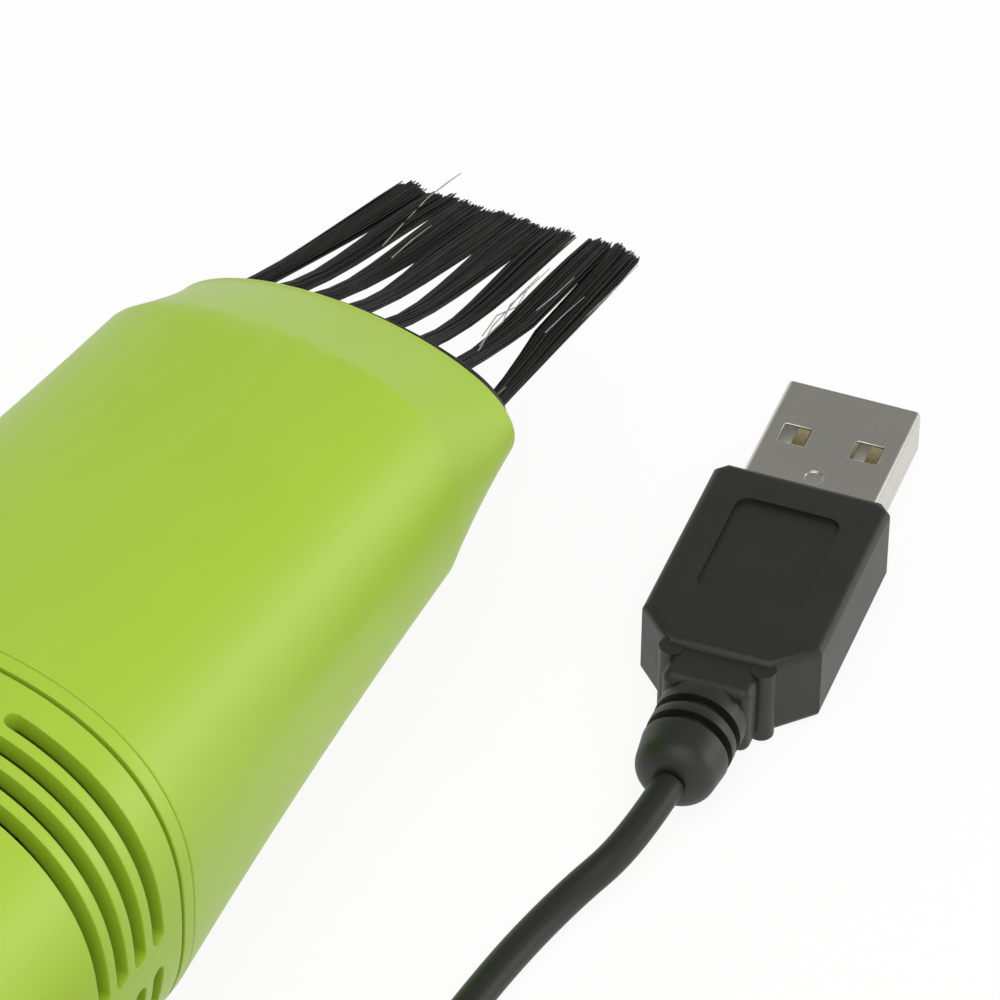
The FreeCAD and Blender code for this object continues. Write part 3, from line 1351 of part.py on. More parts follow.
def plug_shell():
    """Folded steel shell of the plug with its two pairs of latch windows."""
    body = new_body("plug_shell")
    section = new_sketch(body, "shell_outline", "XY_Plane")
    rectangle(section, ("-shell_exposed - shell_buried", "0"), ("-shell_width / 2", "shell_width / 2"))
    blank = pad_up(body, section, "shell_blank", "shell_height")
    DOC.recompute()
    folds = [f"Edge{number}" for number, edge in enumerate(blank.Shape.Edges, start=1)
             if edge.BoundBox.XLength > size("shell_exposed")
             and edge.BoundBox.YLength + edge.BoundBox.ZLength < 0.01]
    soften = body.newObject("PartDesign::Fillet", "shell_folds")
    soften.Base = (blank, folds)
    bind(soften, "Radius", "shell_round")
    body.Tip = soften
    DOC.recompute()
    hollow = new_sketch(body, "hollow_outline", "YZ_Plane")
    rectangle(hollow, ("-shell_width / 2 + shell_wall", "shell_width / 2 - shell_wall"),
              ("-shell_height / 2 + shell_wall", "shell_height / 2 - shell_wall"))
    bore = body.newObject("PartDesign::Pocket", "shell_bore")
    bore.Profile = hollow
    bore.Type = "ThroughAll"
    bore.Midplane = True
    body.Tip = bore
    DOC.recompute()
    windows = new_sketch(body, "window_outline", "XY_Plane")
    rectangle(windows, ("-window_setback - window_length / 2", "-window_setback + window_length / 2"),
              ("window_spread - window_width / 2", "window_spread + window_width / 2"))
    cut = body.newObject("PartDesign::Pocket", "window_cut")
    cut.Profile = windows
    cut.Type = "ThroughAll"
    cut.Midplane = True
    body.Tip = cut
    DOC.recompute()
    mirror = body.newObject("PartDesign::Mirrored", "window_pair")
    mirror.Originals = [cut]
    mirror.MirrorPlane = (next(o for o in body.Origin.OriginFeatures if o.Role == "XZ_Plane"), [""])
    body.Tip = mirror
    DOC.recompute()
    dimple = new_sketch(body, "dimple_outline", "XY_Plane")
    bind(dimple, "AttachmentOffset.Base.z", "shell_height / 2 - dimple_depth")
    circle(dimple, ("-dimple_setback", "0"), "dimple_radius")
    pressed = body.newObject("PartDesign::Pocket", "dimple")
    pressed.Profile = dimple
    bind(pressed, "Length", f"{OVERCUT} + dimple_depth")
    pressed.Reversed = True
    body.Tip = pressed
    place_on_plug(body)
    return body


def plug_tongue():
    """White tongue that carries the contacts, in the lower half of the shell."""
    body = new_body("plug_tongue")
    sketch = new_sketch(body, "tongue_outline", "XZ_Plane")
    low = "-shell_height / 2 + shell_wall + press_gap"
    rectangle(sketch, ("-shell_exposed - shell_buried", "-tongue_setback"),
              (low, f"{low} + tongue_thickness"))
    pad_up(body, sketch, "tongue", "shell_width - 2 * shell_wall - 2 * press_gap")
    place_on_plug(body)
    return body


def plug_contacts():
    """Four gilt contacts on the tongue."""
    top = -size("shell_height") / 2 + size("shell_wall") + size("press_gap") + size("tongue_thickness")
    strips = []
    count = int(size("contact_count"))
    front = -size("tongue_setback") - size("contact_setback")
    for index in range(count):
        y = (index - (count - 1) / 2) * size("contact_pitch")
        strips.append(block((front - size("contact_length"), front),
                            (y - size("contact_width") / 2, y + size("contact_width") / 2),
                            (top, top + size("contact_height"))))
    obj = DOC.addObject("Part::Feature", "plug_contacts")
    obj.Label = "plug_contacts"
    obj.Shape = Part.makeCompound(strips)
    obj.Placement = plug_placement()
    return obj


def plug_placement():
    """Where the plug lies, as a number."""
    base = FreeCAD.Vector(crease_x() + station("plug_tip"), -size("plug_aside"),
                          size("grip_height") / 2)
    return FreeCAD.Placement(base, FreeCAD.Rotation(FreeCAD.Vector(0, 0, 1), size("plug_yaw")))


def plug_overmold():
    """Moulded grip with bevelled shoulders, a sunk panel and a ringed strain relief."""
    body = new_body("plug_overmold")
    front = "-shell_exposed"
    rear = "-shell_exposed - grip_length"
    half = "grip_width / 2"
    sketch = new_sketch(body, "grip_outline", "XY_Plane")
    outline(sketch, [
        (f"{front}", f"-{half} + grip_front_bevel"),
        (f"{front}", f"{half} - grip_front_bevel"),
        (f"{front} - grip_front_bevel", half),
        (f"{rear} + grip_rear_bevel", half),
        (rear, f"{half} - grip_rear_bevel"),
        (rear, f"-{half} + grip_rear_bevel"),
        (f"{rear} + grip_rear_bevel", f"-{half}"),
        (f"{front} - grip_front_bevel", f"-{half}"),
    ])
    grip = pad_up(body, sketch, "grip", "grip_height")
    DOC.recompute()
    rims = [f"Edge{number}" for number, edge in enumerate(grip.Shape.Edges, start=1)
            if edge.BoundBox.ZLength < 0.01]
    soften = body.newObject("PartDesign::Fillet", "grip_edges")
    soften.Base = (grip, rims)
    bind(soften, "Radius", "grip_edge")
    body.Tip = soften
    DOC.recompute()
    neck_block(body, rear)
    corner_posts(body, rear)
    relief = new_sketch(body, "relief_outline", "XY_Plane")
    outline(relief, relief_corners(rear))
    turn = body.newObject("PartDesign::Revolution", "relief")
    turn.Profile = relief
    turn.ReferenceAxis = (relief, ["H_Axis"])
    turn.Angle = 360
    body.Tip = turn
    DOC.recompute()
    low = min(vertex.X for vertex in turn.Shape.Vertexes)
    end_rim = [f"Edge{number}" for number, edge in enumerate(turn.Shape.Edges, start=1)
               if edge.BoundBox.XMax < low + 0.01 and edge.BoundBox.YLength > 1]
    knob_round = body.newObject("PartDesign::Fillet", "relief_round")
    knob_round.Base = (turn, end_rim)
    bind(knob_round, "Radius", "relief_round")
    body.Tip = knob_round
    DOC.recompute()
    room = new_sketch(body, "shell_room_outline", "YZ_Plane")
    rectangle(room, ("-shell_width / 2 - press_gap", "shell_width / 2 + press_gap"),
              ("-shell_height / 2 - press_gap", "shell_height / 2 + press_gap"))
    pocket = body.newObject("PartDesign::Pocket", "shell_room")
    pocket.Profile = room
    bind(pocket, "Length", "shell_exposed + shell_buried + press_gap")
    body.Tip = pocket
    DOC.recompute()
    panel = new_sketch(body, "panel_outline", "XY_Plane")
    bind(panel, "AttachmentOffset.Base.z", "grip_height / 2 - panel_depth")
    rectangle(panel, (f"{front} - panel_setback - panel_length", f"{front} - panel_setback"),
              ("-panel_width / 2", "panel_width / 2"))
    sink = body.newObject("PartDesign::Pocket", "panel")
    sink.Profile = panel
    bind(sink, "Length", f"{OVERCUT} + panel_depth")
    sink.Reversed = True
    body.Tip = sink
    DOC.recompute()
    corners = [f"Edge{number}" for number, edge in enumerate(sink.Shape.Edges, start=1)
               if abs(edge.BoundBox.ZLength - size("panel_depth")) < 0.01
               and edge.BoundBox.XLength + edge.BoundBox.YLength < 0.01]
    panel_round = body.newObject("PartDesign::Fillet", "panel_corners")
    panel_round.Base = (sink, corners)
    bind(panel_round, "Radius", "panel_round")
    body.Tip = panel_round
    place_on_plug(body)
    return body


def neck_block(body, rear):
    """Flat-topped neck between the grip and the strain relief."""
    sketch = new_sketch(body, "neck_outline", "XY_Plane")
    rectangle(sketch, (f"{rear} - neck_block_length", f"{rear} + neck_root"),
              ("-neck_block_width / 2", "neck_block_width / 2"))
    neck = pad_up(body, sketch, "neck_block", "neck_block_height")
    DOC.recompute()
    behind = -size("shell_exposed") - size("grip_length") - size("neck_block_length") / 2
    rims = [f"Edge{number}" for number, edge in enumerate(neck.Shape.Edges, start=1)
            if edge.BoundBox.XMin < behind]
    soften = body.newObject("PartDesign::Fillet", "neck_edges")
    soften.Base = (neck, rims)
    bind(soften, "Radius", "neck_block_round")
    body.Tip = soften
    DOC.recompute()


def corner_posts(body, rear):
    """Rounded posts where the rear of the grip meets its shoulders."""
    sketch = new_sketch(body, "post_outline", "XY_Plane")
    for side in ("", "-"):
        circle(sketch, (f"{rear} - post_setback", f"{side}(grip_width / 2 - grip_rear_bevel - post_inset)"),
               "post_radius")
    pad_up(body, sketch, "posts", "post_height")
    DOC.recompute()


def relief_corners(rear):
    """Outline of the strain relief: a collar behind the neck, two grooves, then a knob."""
    ring, core = "relief_ring_width", "relief_radius - relief_ring_depth"
    collar = f"{rear} - neck_block_length"
    first = f"{collar} - relief_collar"
    end = f"{rear} - relief_length"
    return [
        (f"{rear} + neck_root", "0"),
        (f"{rear} + neck_root", core),
        (collar, core),
        (collar, "relief_radius"),
        (first, "relief_radius"),
        (first, core),
        (f"{first} - {ring}", core),
        (f"{first} - {ring}", "relief_radius"),
        (f"{first} - 2 * {ring}", "relief_radius"),
        (f"{first} - 2 * {ring}", core),
        (f"{first} - 3 * {ring}", core),
        (f"{first} - 3 * {ring}", "relief_radius"),
        (end, "relief_end_radius"),
        (end, "0"),
    ]


# ---------------------------------------------------------------- build and write

def build():
    """Make every sub-part."""
    dust_cup()
    brush_holder()
    brush_tufts()
    intake_plate()
    cup_seal()
    filter_frame()
    filter_cloth()
    shell = housing_shell()
    housing_top(shell)
    housing_bottom(shell)
    housing_screws()
    impeller()
    motor_can()
    motor_end_cap()
    bearing("bearing_front", "motor_front", "collar_length", "collar_length - bearing_length")
    bearing("bearing_rear", "motor_rear", "cap_spigot", "bearing_sunk - cap_thickness")
    motor_shaft()
    armature_core()
    commutator()
    motor_magnets()
    motor_terminals()
    motor_plate()
    motor_screws()
    switch_body()
    switch_pins()
    switch_knob()
    cable_boot()
    cable_clamp()
    cable_jacket_end()
    inner_leads()
    usb_cable()
    cable_coil()
    coil_tie()
    plug_shell()
    plug_tongue()
    plug_contacts()
    plug_overmold()


def sub_parts():
    """The objects that are written: whatever nothing else is made from."""
    kept = []
    for obj in DOC.Objects:
        if obj.TypeId in ("PartDesign::Body", "Part::Feature", "Part::Cut"):
            kept.append(obj)
    return kept


def write_parts():
    """Check every object and write each sub-part to its own file."""
    DOC.recompute()
    for obj in DOC.Objects:
        if "Invalid" in obj.State or "Error" in obj.State:
            raise RuntimeError(f"{obj.Name} failed: {obj.State}")
    os.makedirs("parts", exist_ok=True)
    for obj in sub_parts():
        shape = obj.Shape
        if shape.isNull() or not shape.isValid():
            raise RuntimeError(f"{obj.Label} has no valid shape")
        shape.exportStep(f"parts/{obj.Label}.step")
        print(f"{obj.Label:18s} solids {len(shape.Solids):2d} volume {shape.Volume:9.1f}")


build()
write_parts()
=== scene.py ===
"""Looks of a desktop mini vacuum cleaner with a USB lead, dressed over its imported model."""

import math
import random

import bpy
from mathutils import Matrix, Vector


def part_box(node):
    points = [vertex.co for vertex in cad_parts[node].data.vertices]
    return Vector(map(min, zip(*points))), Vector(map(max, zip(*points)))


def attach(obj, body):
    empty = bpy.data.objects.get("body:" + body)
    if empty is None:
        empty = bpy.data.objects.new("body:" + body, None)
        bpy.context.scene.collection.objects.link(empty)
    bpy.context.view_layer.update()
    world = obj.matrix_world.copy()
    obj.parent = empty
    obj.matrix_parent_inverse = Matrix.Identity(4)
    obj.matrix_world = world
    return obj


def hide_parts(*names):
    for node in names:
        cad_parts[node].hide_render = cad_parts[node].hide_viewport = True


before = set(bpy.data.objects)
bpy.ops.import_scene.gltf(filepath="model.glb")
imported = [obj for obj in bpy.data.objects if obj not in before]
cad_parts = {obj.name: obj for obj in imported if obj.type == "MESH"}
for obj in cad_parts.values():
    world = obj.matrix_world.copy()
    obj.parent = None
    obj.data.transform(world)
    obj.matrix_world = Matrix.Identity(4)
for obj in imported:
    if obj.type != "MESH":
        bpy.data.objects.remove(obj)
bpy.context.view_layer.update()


# ------------------------------------------------------------------ camera
# A long lens stands behind the right flank of the tail and looks down on the nose, the
# bristles and the plug. Places are millimetres ahead of the nose crease, left and up.

MM = 0.001
CUP_LENGTH = 48.1                # rear edge of the cup to the crease
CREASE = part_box("dust_cup")[0].x + CUP_LENGTH * MM
VIEW_TURN = math.radians(28.77)  # heading, from straight ahead to the left
VIEW_DROP = math.radians(42.54)
VIEW_ROLL = math.radians(0.79)
VIEW_DISTANCE = 599.6            # from the camera to the spot on the table that it faces
VIEW_TARGET = (22.07, -9.18, 0.0)
LENS = 250.4                     # focal length


def at(x, y, z):
    """A place in metres from millimetres ahead of the crease, left of the axis and up."""
    return Vector((CREASE + x * MM, y * MM, z * MM))


ahead = Vector((math.cos(VIEW_TURN), math.sin(VIEW_TURN), 0))
right = Vector((math.sin(VIEW_TURN), -math.cos(VIEW_TURN), 0))
look = ahead * math.cos(VIEW_DROP) - Vector((0, 0, math.sin(VIEW_DROP)))
rise = ahead * math.sin(VIEW_DROP) + Vector((0, 0, math.cos(VIEW_DROP)))
camera_x = right * math.cos(VIEW_ROLL) + rise * math.sin(VIEW_ROLL)
camera_y = rise * math.cos(VIEW_ROLL) - right * math.sin(VIEW_ROLL)
camera = bpy.data.objects.new("camera", bpy.data.cameras.new("camera"))
bpy.context.scene.collection.objects.link(camera)
camera.data.lens = LENS
camera.data.clip_start = 0.05
camera.matrix_world = Matrix.Translation(at(*VIEW_TARGET) - look * VIEW_DISTANCE * MM) @ Matrix(
    (camera_x, camera_y, -look)).transposed().to_4x4()
bpy.context.scene.camera = camera


# ------------------------------------------------------------------ lead
# A round two-core lead jacketed in matt black PVC. It leaves the boot in the tail, its
# spare length is wound into a neat coil of two layers, and it ends in the plug's relief.

LEAD_DIAMETER = 2.8
COIL_MIDDLE = (-58.0, -59.4)     # ahead of the crease and left of the axis
COIL_RADIUS = 16.8               # middle of the turns
COIL_COLUMNS = 5                 # turns side by side, in each of the two layers
COIL_LOW = 1.9                   # middle of the lower layer over the table
COIL_STEP = 20                   # degrees from point to point
SHIFT_TURN = 60                  # degrees in which the lead crosses to its next turn
LOWER_SHIFT = 180                # where it crosses in the lower layer, in degrees of each turn
ARC_STEPS = 8                    # straight steps in each arc when the length is measured
# out of the tail boot, down to the table and round to the coil
TAIL_ROUTE = (
    (-114.8, 0.0, 18.94),
    (-124.2, 0.0, 18.94),
    (-134.0, -1.2, 14.6),
    (-142.4, -5.6, 8.6),
    (-147.6, -13.6, 4.0),
    (-147.4, -23.8, 1.7),
    (-141.6, -32.2, 1.4),
    (-131.4, -37.6, 1.4),
    (-117.0, -40.4, 1.7),
    (-98.0, -40.2, 2.8),
    (-78.0, -38.2, 4.3),
)
# from the coil to the plug's relief
PLUG_ROUTE = (
    (-42.0, -36.9, 1.4),
    (-28.0, -36.9, 1.4),
    (-18.4, -38.0, 1.75),
    (-11.8, -40.3, 3.3),
    (-4.8, -40.05, 4.0),
)


def ease(value, low, high):
    """0 before low, 1 after high and a smooth rise between them."""
    share = min(1.0, max(0.0, (value - low) / (high - low)))
    return share * share * (3 - 2 * share)


def coil_point(turn):
    """Where the lead is when it has turned this many degrees round the coil."""
    outermost = COIL_RADIUS + (COIL_COLUMNS - 1) / 2 * LEAD_DIAMETER
    upper_shifts = [360 * k - SHIFT_TURN for k in range(1, COIL_COLUMNS)]
    lower_shifts = [360 * (COIL_COLUMNS + k) + LOWER_SHIFT for k in range(COIL_COLUMNS - 1)]
    inward = sum(ease(turn, shift, shift + SHIFT_TURN) for shift in upper_shifts)
    outward = sum(ease(turn, shift, shift + SHIFT_TURN) for shift in lower_shifts)
    # the points stand a little outside the round that the spline then follows
    radius = outermost + (outward - inward) * LEAD_DIAMETER
    radius /= math.cos(math.radians(COIL_STEP / 2))
    drop_start = 360 * COIL_COLUMNS - 2 * SHIFT_TURN
    drop = ease(turn, drop_start, drop_start + SHIFT_TURN)
    angle = math.radians(90 - turn)
    return (COIL_MIDDLE[0] + radius * math.cos(angle), COIL_MIDDLE[1] + radius * math.sin(angle),
            COIL_LOW + (1 - drop) * LEAD_DIAMETER)


def colour(hex_value):
    """Linear RGBA of an sRGB hex value."""
    channels = [int(hex_value[i:i + 2], 16) / 255 for i in (0, 2, 4)]
    return [c / 12.92 if c <= 0.04045 else ((c + 0.055) / 1.055) ** 2.4 for c in channels] + [1.0]


def node(tree, kind, settings=None, links=None):
    """Add a node; settings go to its sockets or properties, links to its sockets."""
    made = tree.nodes.new(kind)
    for name, value in (settings or {}).items():
        if isinstance(name, int) or name in made.inputs:
            made.inputs[name].default_value = value
        else:
            setattr(made, name, value)
    for name, source in (links or {}).items():
        tree.links.new(source, made.inputs[name])
    return made


def pattern(size):
    """Texture scale whose features are this many millimetres apart."""
    return 1 / (size * MM)


def new_material(name):
    """Material with an empty node tree."""
    material = bpy.data.materials.new(name)
    material.use_nodes = True
    material.node_tree.nodes.clear()
    return material, material.node_tree


coil_turns = range(0, 360 * (2 * COIL_COLUMNS - 1) + 1, COIL_STEP)
lead_points = list(TAIL_ROUTE) + [coil_point(turn) for turn in coil_turns] + list(PLUG_ROUTE)
lead_curve = bpy.data.curves.new("usb_lead", "CURVE")
lead_curve.dimensions = "3D"
lead_line = lead_curve.splines.new("NURBS")
lead_line.points.add(len(lead_points) - 1)
for point, place in zip(lead_line.points, lead_points):
    point.co = (*at(*place), 1)
lead_line.order_u = 3
lead_line.use_endpoint_u = True
lead_line.resolution_u = 10
lead_curve.bevel_depth = LEAD_DIAMETER / 2 * MM
lead_curve.bevel_resolution = 6
lead_curve.use_fill_caps = True
lead = bpy.data.objects.new("usb_lead", lead_curve)
bpy.context.scene.collection.objects.link(lead)

# extruded PVC: a dull black skin with fine ripples from the die and slightly worn patches
pvc_extruded, tree = new_material("pvc_extruded_matt")
place = node(tree, "ShaderNodeTexCoord")
ripple = node(tree, "ShaderNodeTexNoise", {"Scale": pattern(1.1), "Detail": 2.0},
              {"Vector": place.outputs["Object"]})
patches = node(tree, "ShaderNodeTexNoise", {"Scale": pattern(8), "Detail": 3.0},
               {"Vector": place.outputs["Object"]})
dull = node(tree, "ShaderNodeMapRange", {"To Min": 0.42, "To Max": 0.6},
            {"Value": patches.outputs[0]})
relief = node(tree, "ShaderNodeBump", {"Strength": 0.25, "Distance": 0.04 * MM},
              {"Height": ripple.outputs[0]})
skin = node(tree, "ShaderNodeBsdfPrincipled", {"Base Color": colour("161712"), "IOR": 1.52},
            {"Roughness": dull.outputs[0], "Normal": relief.outputs[0]})
node(tree, "ShaderNodeOutputMaterial", links={"Surface": skin.outputs[0]})
lead.data.materials.append(pvc_extruded)
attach(lead, "motor_unit")
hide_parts("usb_cable_rear", "cable_coil", "usb_cable_front")

# the spline runs through the middles of its runs, so its length is that of those arcs
corners = [Vector(place) for place in lead_points]
lead_length = ((corners[1] - corners[0]).length + (corners[-1] - corners[-2]).length) / 2
shares = [step / ARC_STEPS for step in range(ARC_STEPS + 1)]
for before, corner, after in zip(corners, corners[1:], corners[2:]):
    start, end = (before + corner) / 2, (corner + after) / 2
    arc = [start.lerp(corner, s).lerp(corner.lerp(end, s), s) for s in shares]
    lead_length += sum((b - a).length for a, b in zip(arc, arc[1:]))


# ------------------------------------------------------------------ table and light
# A plain white table in a white room with a dim ceiling. One soft lamp hangs behind the
# tail and a small one stands low on the right, ahead of the nose.

TABLE_HALF = 6.0                 # metres
LAMPS = {                        # place in millimetres, size in metres, watts
    "key": ((-220.0, -140.0, 430.0), 0.5, 1.25),
    "side": ((330.0, -450.0, 130.0), 0.25, 0.5),
}
LAMP_AIM = (-20.0, -10.0, 15.0)  # all lamps face the middle of the cup
ROOM_LEVEL = 0.64                # what the room gives as light
CEILING_LEVEL = 0.33             # what shines back in gloss from above; the walls give 1
TABLE_GLOW = 0.9                 # share of the table's white that is its own

table_mesh = bpy.data.meshes.new("table")
table_mesh.from_pydata([(-TABLE_HALF, -TABLE_HALF, 0), (TABLE_HALF, -TABLE_HALF, 0),
                        (TABLE_HALF, TABLE_HALF, 0), (-TABLE_HALF, TABLE_HALF, 0)],
                       [], [(0, 1, 2, 3)])
table = bpy.data.objects.new("table", table_mesh)
bpy.context.scene.collection.objects.link(table)

# matt white laminate; to the eye and in reflections it also glows, so that it stays white
white_table, tree = new_material("white_laminate")
rays = node(tree, "ShaderNodeLightPath")
eye_or_gloss = node(tree, "ShaderNodeMath", {"operation": "MAXIMUM"},
                    {0: rays.outputs["Is Camera Ray"], 1: rays.outputs["Is Glossy Ray"]})
seen = node(tree, "ShaderNodeMath", {"operation": "MAXIMUM"},
            {0: eye_or_gloss.outputs[0], 1: rays.outputs["Is Transmission Ray"]})
share = node(tree, "ShaderNodeMath", {"operation": "MULTIPLY", 1: TABLE_GLOW},
             {0: seen.outputs[0]})
board = node(tree, "ShaderNodeBsdfDiffuse", {"Color": colour("F7F7F5")})
glow = node(tree, "ShaderNodeEmission", {"Color": (1, 1, 1, 1), "Strength": 1.0})
both = node(tree, "ShaderNodeMixShader",
            links={0: share.outputs[0], 1: board.outputs[0], 2: glow.outputs[0]})
node(tree, "ShaderNodeOutputMaterial", links={"Surface": both.outputs[0]})
table.data.materials.append(white_table)

# white walls that fade into the dim ceiling; the eye and clear glass see plain white
world = bpy.data.worlds.new("studio")
bpy.context.scene.world = world
world.use_nodes = True
tree = world.node_tree
tree.nodes.clear()
rays = node(tree, "ShaderNodeLightPath")
place = node(tree, "ShaderNodeTexCoord")
split = node(tree, "ShaderNodeSeparateXYZ", links={"Vector": place.outputs["Generated"]})
eye_or_glass = node(tree, "ShaderNodeMath", {"operation": "MAXIMUM"},
                    {0: rays.outputs["Is Camera Ray"], 1: rays.outputs["Is Transmission Ray"]})
walls = node(tree, "ShaderNodeMapRange",
             {"From Min": 0.2, "From Max": 0.55, "To Min": 1.0, "To Max": CEILING_LEVEL},
             {"Value": split.outputs["Z"]})
light = node(tree, "ShaderNodeMapRange", {"To Min": ROOM_LEVEL},
             {"Value": rays.outputs["Is Glossy Ray"], "To Max": walls.outputs[0]})
level = node(tree, "ShaderNodeMapRange", {"To Max": 1.0},
             {"Value": eye_or_glass.outputs[0], "To Min": light.outputs[0]})
sky = node(tree, "ShaderNodeBackground", {"Color": (1, 1, 1, 1)}, {"Strength": level.outputs[0]})
node(tree, "ShaderNodeOutputWorld", links={"Surface": sky.outputs[0]})

for name, (where, size, watts) in LAMPS.items():
    lamp = bpy.data.objects.new(name, bpy.data.lights.new(name, "AREA"))
    bpy.context.scene.collection.objects.link(lamp)
    lamp.data.energy = watts
    lamp.data.size = size
    lamp.location = at(*where)
    lamp.rotation_mode = "QUATERNION"
    lamp.rotation_quaternion = (at(*LAMP_AIM) - lamp.location).to_track_quat("-Z", "Y")
bpy.context.scene.view_settings.view_transform = "Standard"


# ------------------------------------------------------------------ green shells
# Dust cup, intake plate and the two halves of the motor housing, injection-moulded in
# lime green ABS. Their parted edges and slots have the small rounding of a steel tool.

SHELLS = ("dust_cup", "intake_plate", "housing_top", "housing_bottom")
SHELL_EDGE = 0.22                # rounding of their edges
WELD_REACH = 0.002               # points of a carried-over mesh that are nearer become one
FLAT_TURN = 0.3                  # facets that turn less than these degrees become one flat


def dress(material, *names):
    """Give carried-over pieces a material."""
    for name in names:
        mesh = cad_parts[name].data
        mesh.materials.clear()
        mesh.materials.append(material)


def soften(name, width, turn=28, clamped=False):
    """Round the edges of a carried-over piece whose faces turn more than these degrees."""
    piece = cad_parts[name]
    weld = piece.modifiers.new("weld", "WELD")
    weld.merge_threshold = WELD_REACH * MM
    whole = piece.modifiers.new("whole_flats", "DECIMATE")
    whole.decimate_type = "DISSOLVE"
    whole.angle_limit = math.radians(FLAT_TURN)
    rounding = piece.modifiers.new("rounding", "BEVEL")
    rounding.width = width * MM
    rounding.segments = 3
    rounding.limit_method = "ANGLE"
    rounding.angle_limit = math.radians(turn)
    rounding.miter_outer = "MITER_ARC"
    rounding.use_clamp_overlap = clamped
    even = piece.modifiers.new("even_normals", "WEIGHTED_NORMAL")
    even.weight = 80


# ABS from a grained tool: a soft sheen, a fine even grain, faint clouds from the flow and
# edges that catch a line of light
lime_abs, tree = new_material("lime_abs_moulded")
place = node(tree, "ShaderNodeTexCoord")
grain = node(tree, "ShaderNodeTexNoise", {"Scale": pattern(0.4), "Detail": 2.0},
             {"Vector": place.outputs["Object"]})
clouds = node(tree, "ShaderNodeTexNoise", {"Scale": pattern(17), "Detail": 3.0},
              {"Vector": place.outputs["Object"]})
tint = node(tree, "ShaderNodeMix", {"data_type": "RGBA", 6: colour("A0C22A"), 7: colour("A6C632")},
            {0: clouds.outputs[0]})
gloss = node(tree, "ShaderNodeMapRange", {"To Min": 0.36, "To Max": 0.46},
             {"Value": clouds.outputs[0]})
edges = node(tree, "ShaderNodeBevel", {"Radius": SHELL_EDGE * MM, "samples": 6})
relief = node(tree, "ShaderNodeBump", {"Strength": 0.15, "Distance": 0.03 * MM},
              {"Height": grain.outputs[0], "Normal": edges.outputs[0]})
shell = node(tree, "ShaderNodeBsdfPrincipled", {"IOR": 1.54},
             {"Base Color": tint.outputs[2], "Roughness": gloss.outputs[0],
              "Normal": relief.outputs[0]})
node(tree, "ShaderNodeOutputMaterial", links={"Surface": shell.outputs[0]})
dress(lime_abs, *SHELLS)
for name in SHELLS:
    soften(name, width=SHELL_EDGE, clamped=name != "dust_cup")


# ------------------------------------------------------------------ brush holder
# An arched strip of black nylon that slides under the roof of the mouth and is drilled
# for the tufts.

# moulded nylon: nearly black, matt, with a slightly mottled skin
black_nylon, tree = new_material("black_nylon_moulded")
place = node(tree, "ShaderNodeTexCoord")
mottle = node(tree, "ShaderNodeTexNoise", {"Scale": pattern(0.6), "Detail": 3.0},
              {"Vector": place.outputs["Object"]})
tint = node(tree, "ShaderNodeMix", {"data_type": "RGBA", 6: colour("12130F"), 7: colour("1C1D17")},
            {0: mottle.outputs[0]})
relief = node(tree, "ShaderNodeBump", {"Strength": 0.2, "Distance": 0.03 * MM},
              {"Height": mottle.outputs[0]})
skin = node(tree, "ShaderNodeBsdfPrincipled", {"Roughness": 0.5, "IOR": 1.53},
            {"Base Color": tint.outputs[2], "Normal": relief.outputs[0]})
node(tree, "ShaderNodeOutputMaterial", links={"Surface": skin.outputs[0]})
dress(black_nylon, "brush_holder")
soften("brush_holder", width=0.2)


# ------------------------------------------------------------------ bristles
# Eight tufts of black nylon filament stapled into the holder. Use has swept them to the
# right, they run together halfway up with one open gap, and their tips are cut unevenly.

AXIS_HEIGHT = 18.94              # the cleaner's axis over the table
TUFT_FIRST = 11.6                # leftmost tuft, left of the axis
TUFT_PITCH = 3.54
TUFT_RADIUS = 0.72               # at its root
ARCH_HALF_WIDTH = 13.3           # arc on which the tufts stand
ARCH_HALF_HEIGHT = 4.5
HOLDER_FRONT = (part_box("brush_holder")[1].x - CREASE) / MM
FILAMENTS = 130                  # in each tuft
FILAMENT_WIDTH = 0.18
TIP_HEIGHT = AXIS_HEIGHT + 2.3
# side edges of the tufts at their tips, from left to right
TIP_BORDERS = (6.9, 4.1, 1.3, -1.6, -4.4, -7.2, -10.2, -13.1, -15.8)
GAP_ENDS = (0.78, 0.97, 0.62, 0.78, 0.76, None, 0.42)   # how far up each gap closes
GAP_BOW = 1.5                    # the gaps narrow faster towards that end than in a wedge
OPEN_GAP = 0.5                   # half width of the gap that stays open
OPEN_FROM = 0.75                 # share of the length where it has that width
MINGLE = 0.05                    # how far closed tufts run into each other
MINGLE_FROM = 0.4                # share of the length where they start to
TRIM_AHEAD = 32.6                # trimmed tips ahead of the crease, at the left end
TRIM_SLANT = 1.4                 # how much further ahead they stand on the right
SLANT_WIDTH = 16.6               # width over which the trim slants
LONG_CORNER = 0.3                # the rightmost tips stand still further ahead
CORNER_START, CORNER_END = 9.5, 11.0   # where that starts and is full, right of the axis
SAG = 0.95                       # how far the tufts droop just outside the mouth
SAG_FROM = 20.4                  # roots above this height droop
SAG_RISE = 2.0                   # and droop in full when they stand this much higher
SAG_FULL, SAG_FADES = 0.22, 0.3  # shares of the length where the droop is full and fades
FAN_THICKNESS = 0.42             # half thickness of a tuft once it has fanned out
FANNED_FROM = 0.25               # share of the length where it has
CLUMPS = 3                       # filaments of a tuft cling together in so many clumps
CLUMP_TRIM, FILAMENT_TRIM = 0.3, 0.12  # how unevenly clumps and filaments are cut
SWAY, LIFT = 0.05, 0.08          # how far a filament strays sideways and up
ROOT_DEPTH = 1.0                 # filaments start inside the holder
RINGS = 8                        # cross sections along a filament
TIP_TAPER = 0.45                 # share of its width that a thread loses at its tip
TAPER_RINGS = 1.2                # cross sections over which it thins


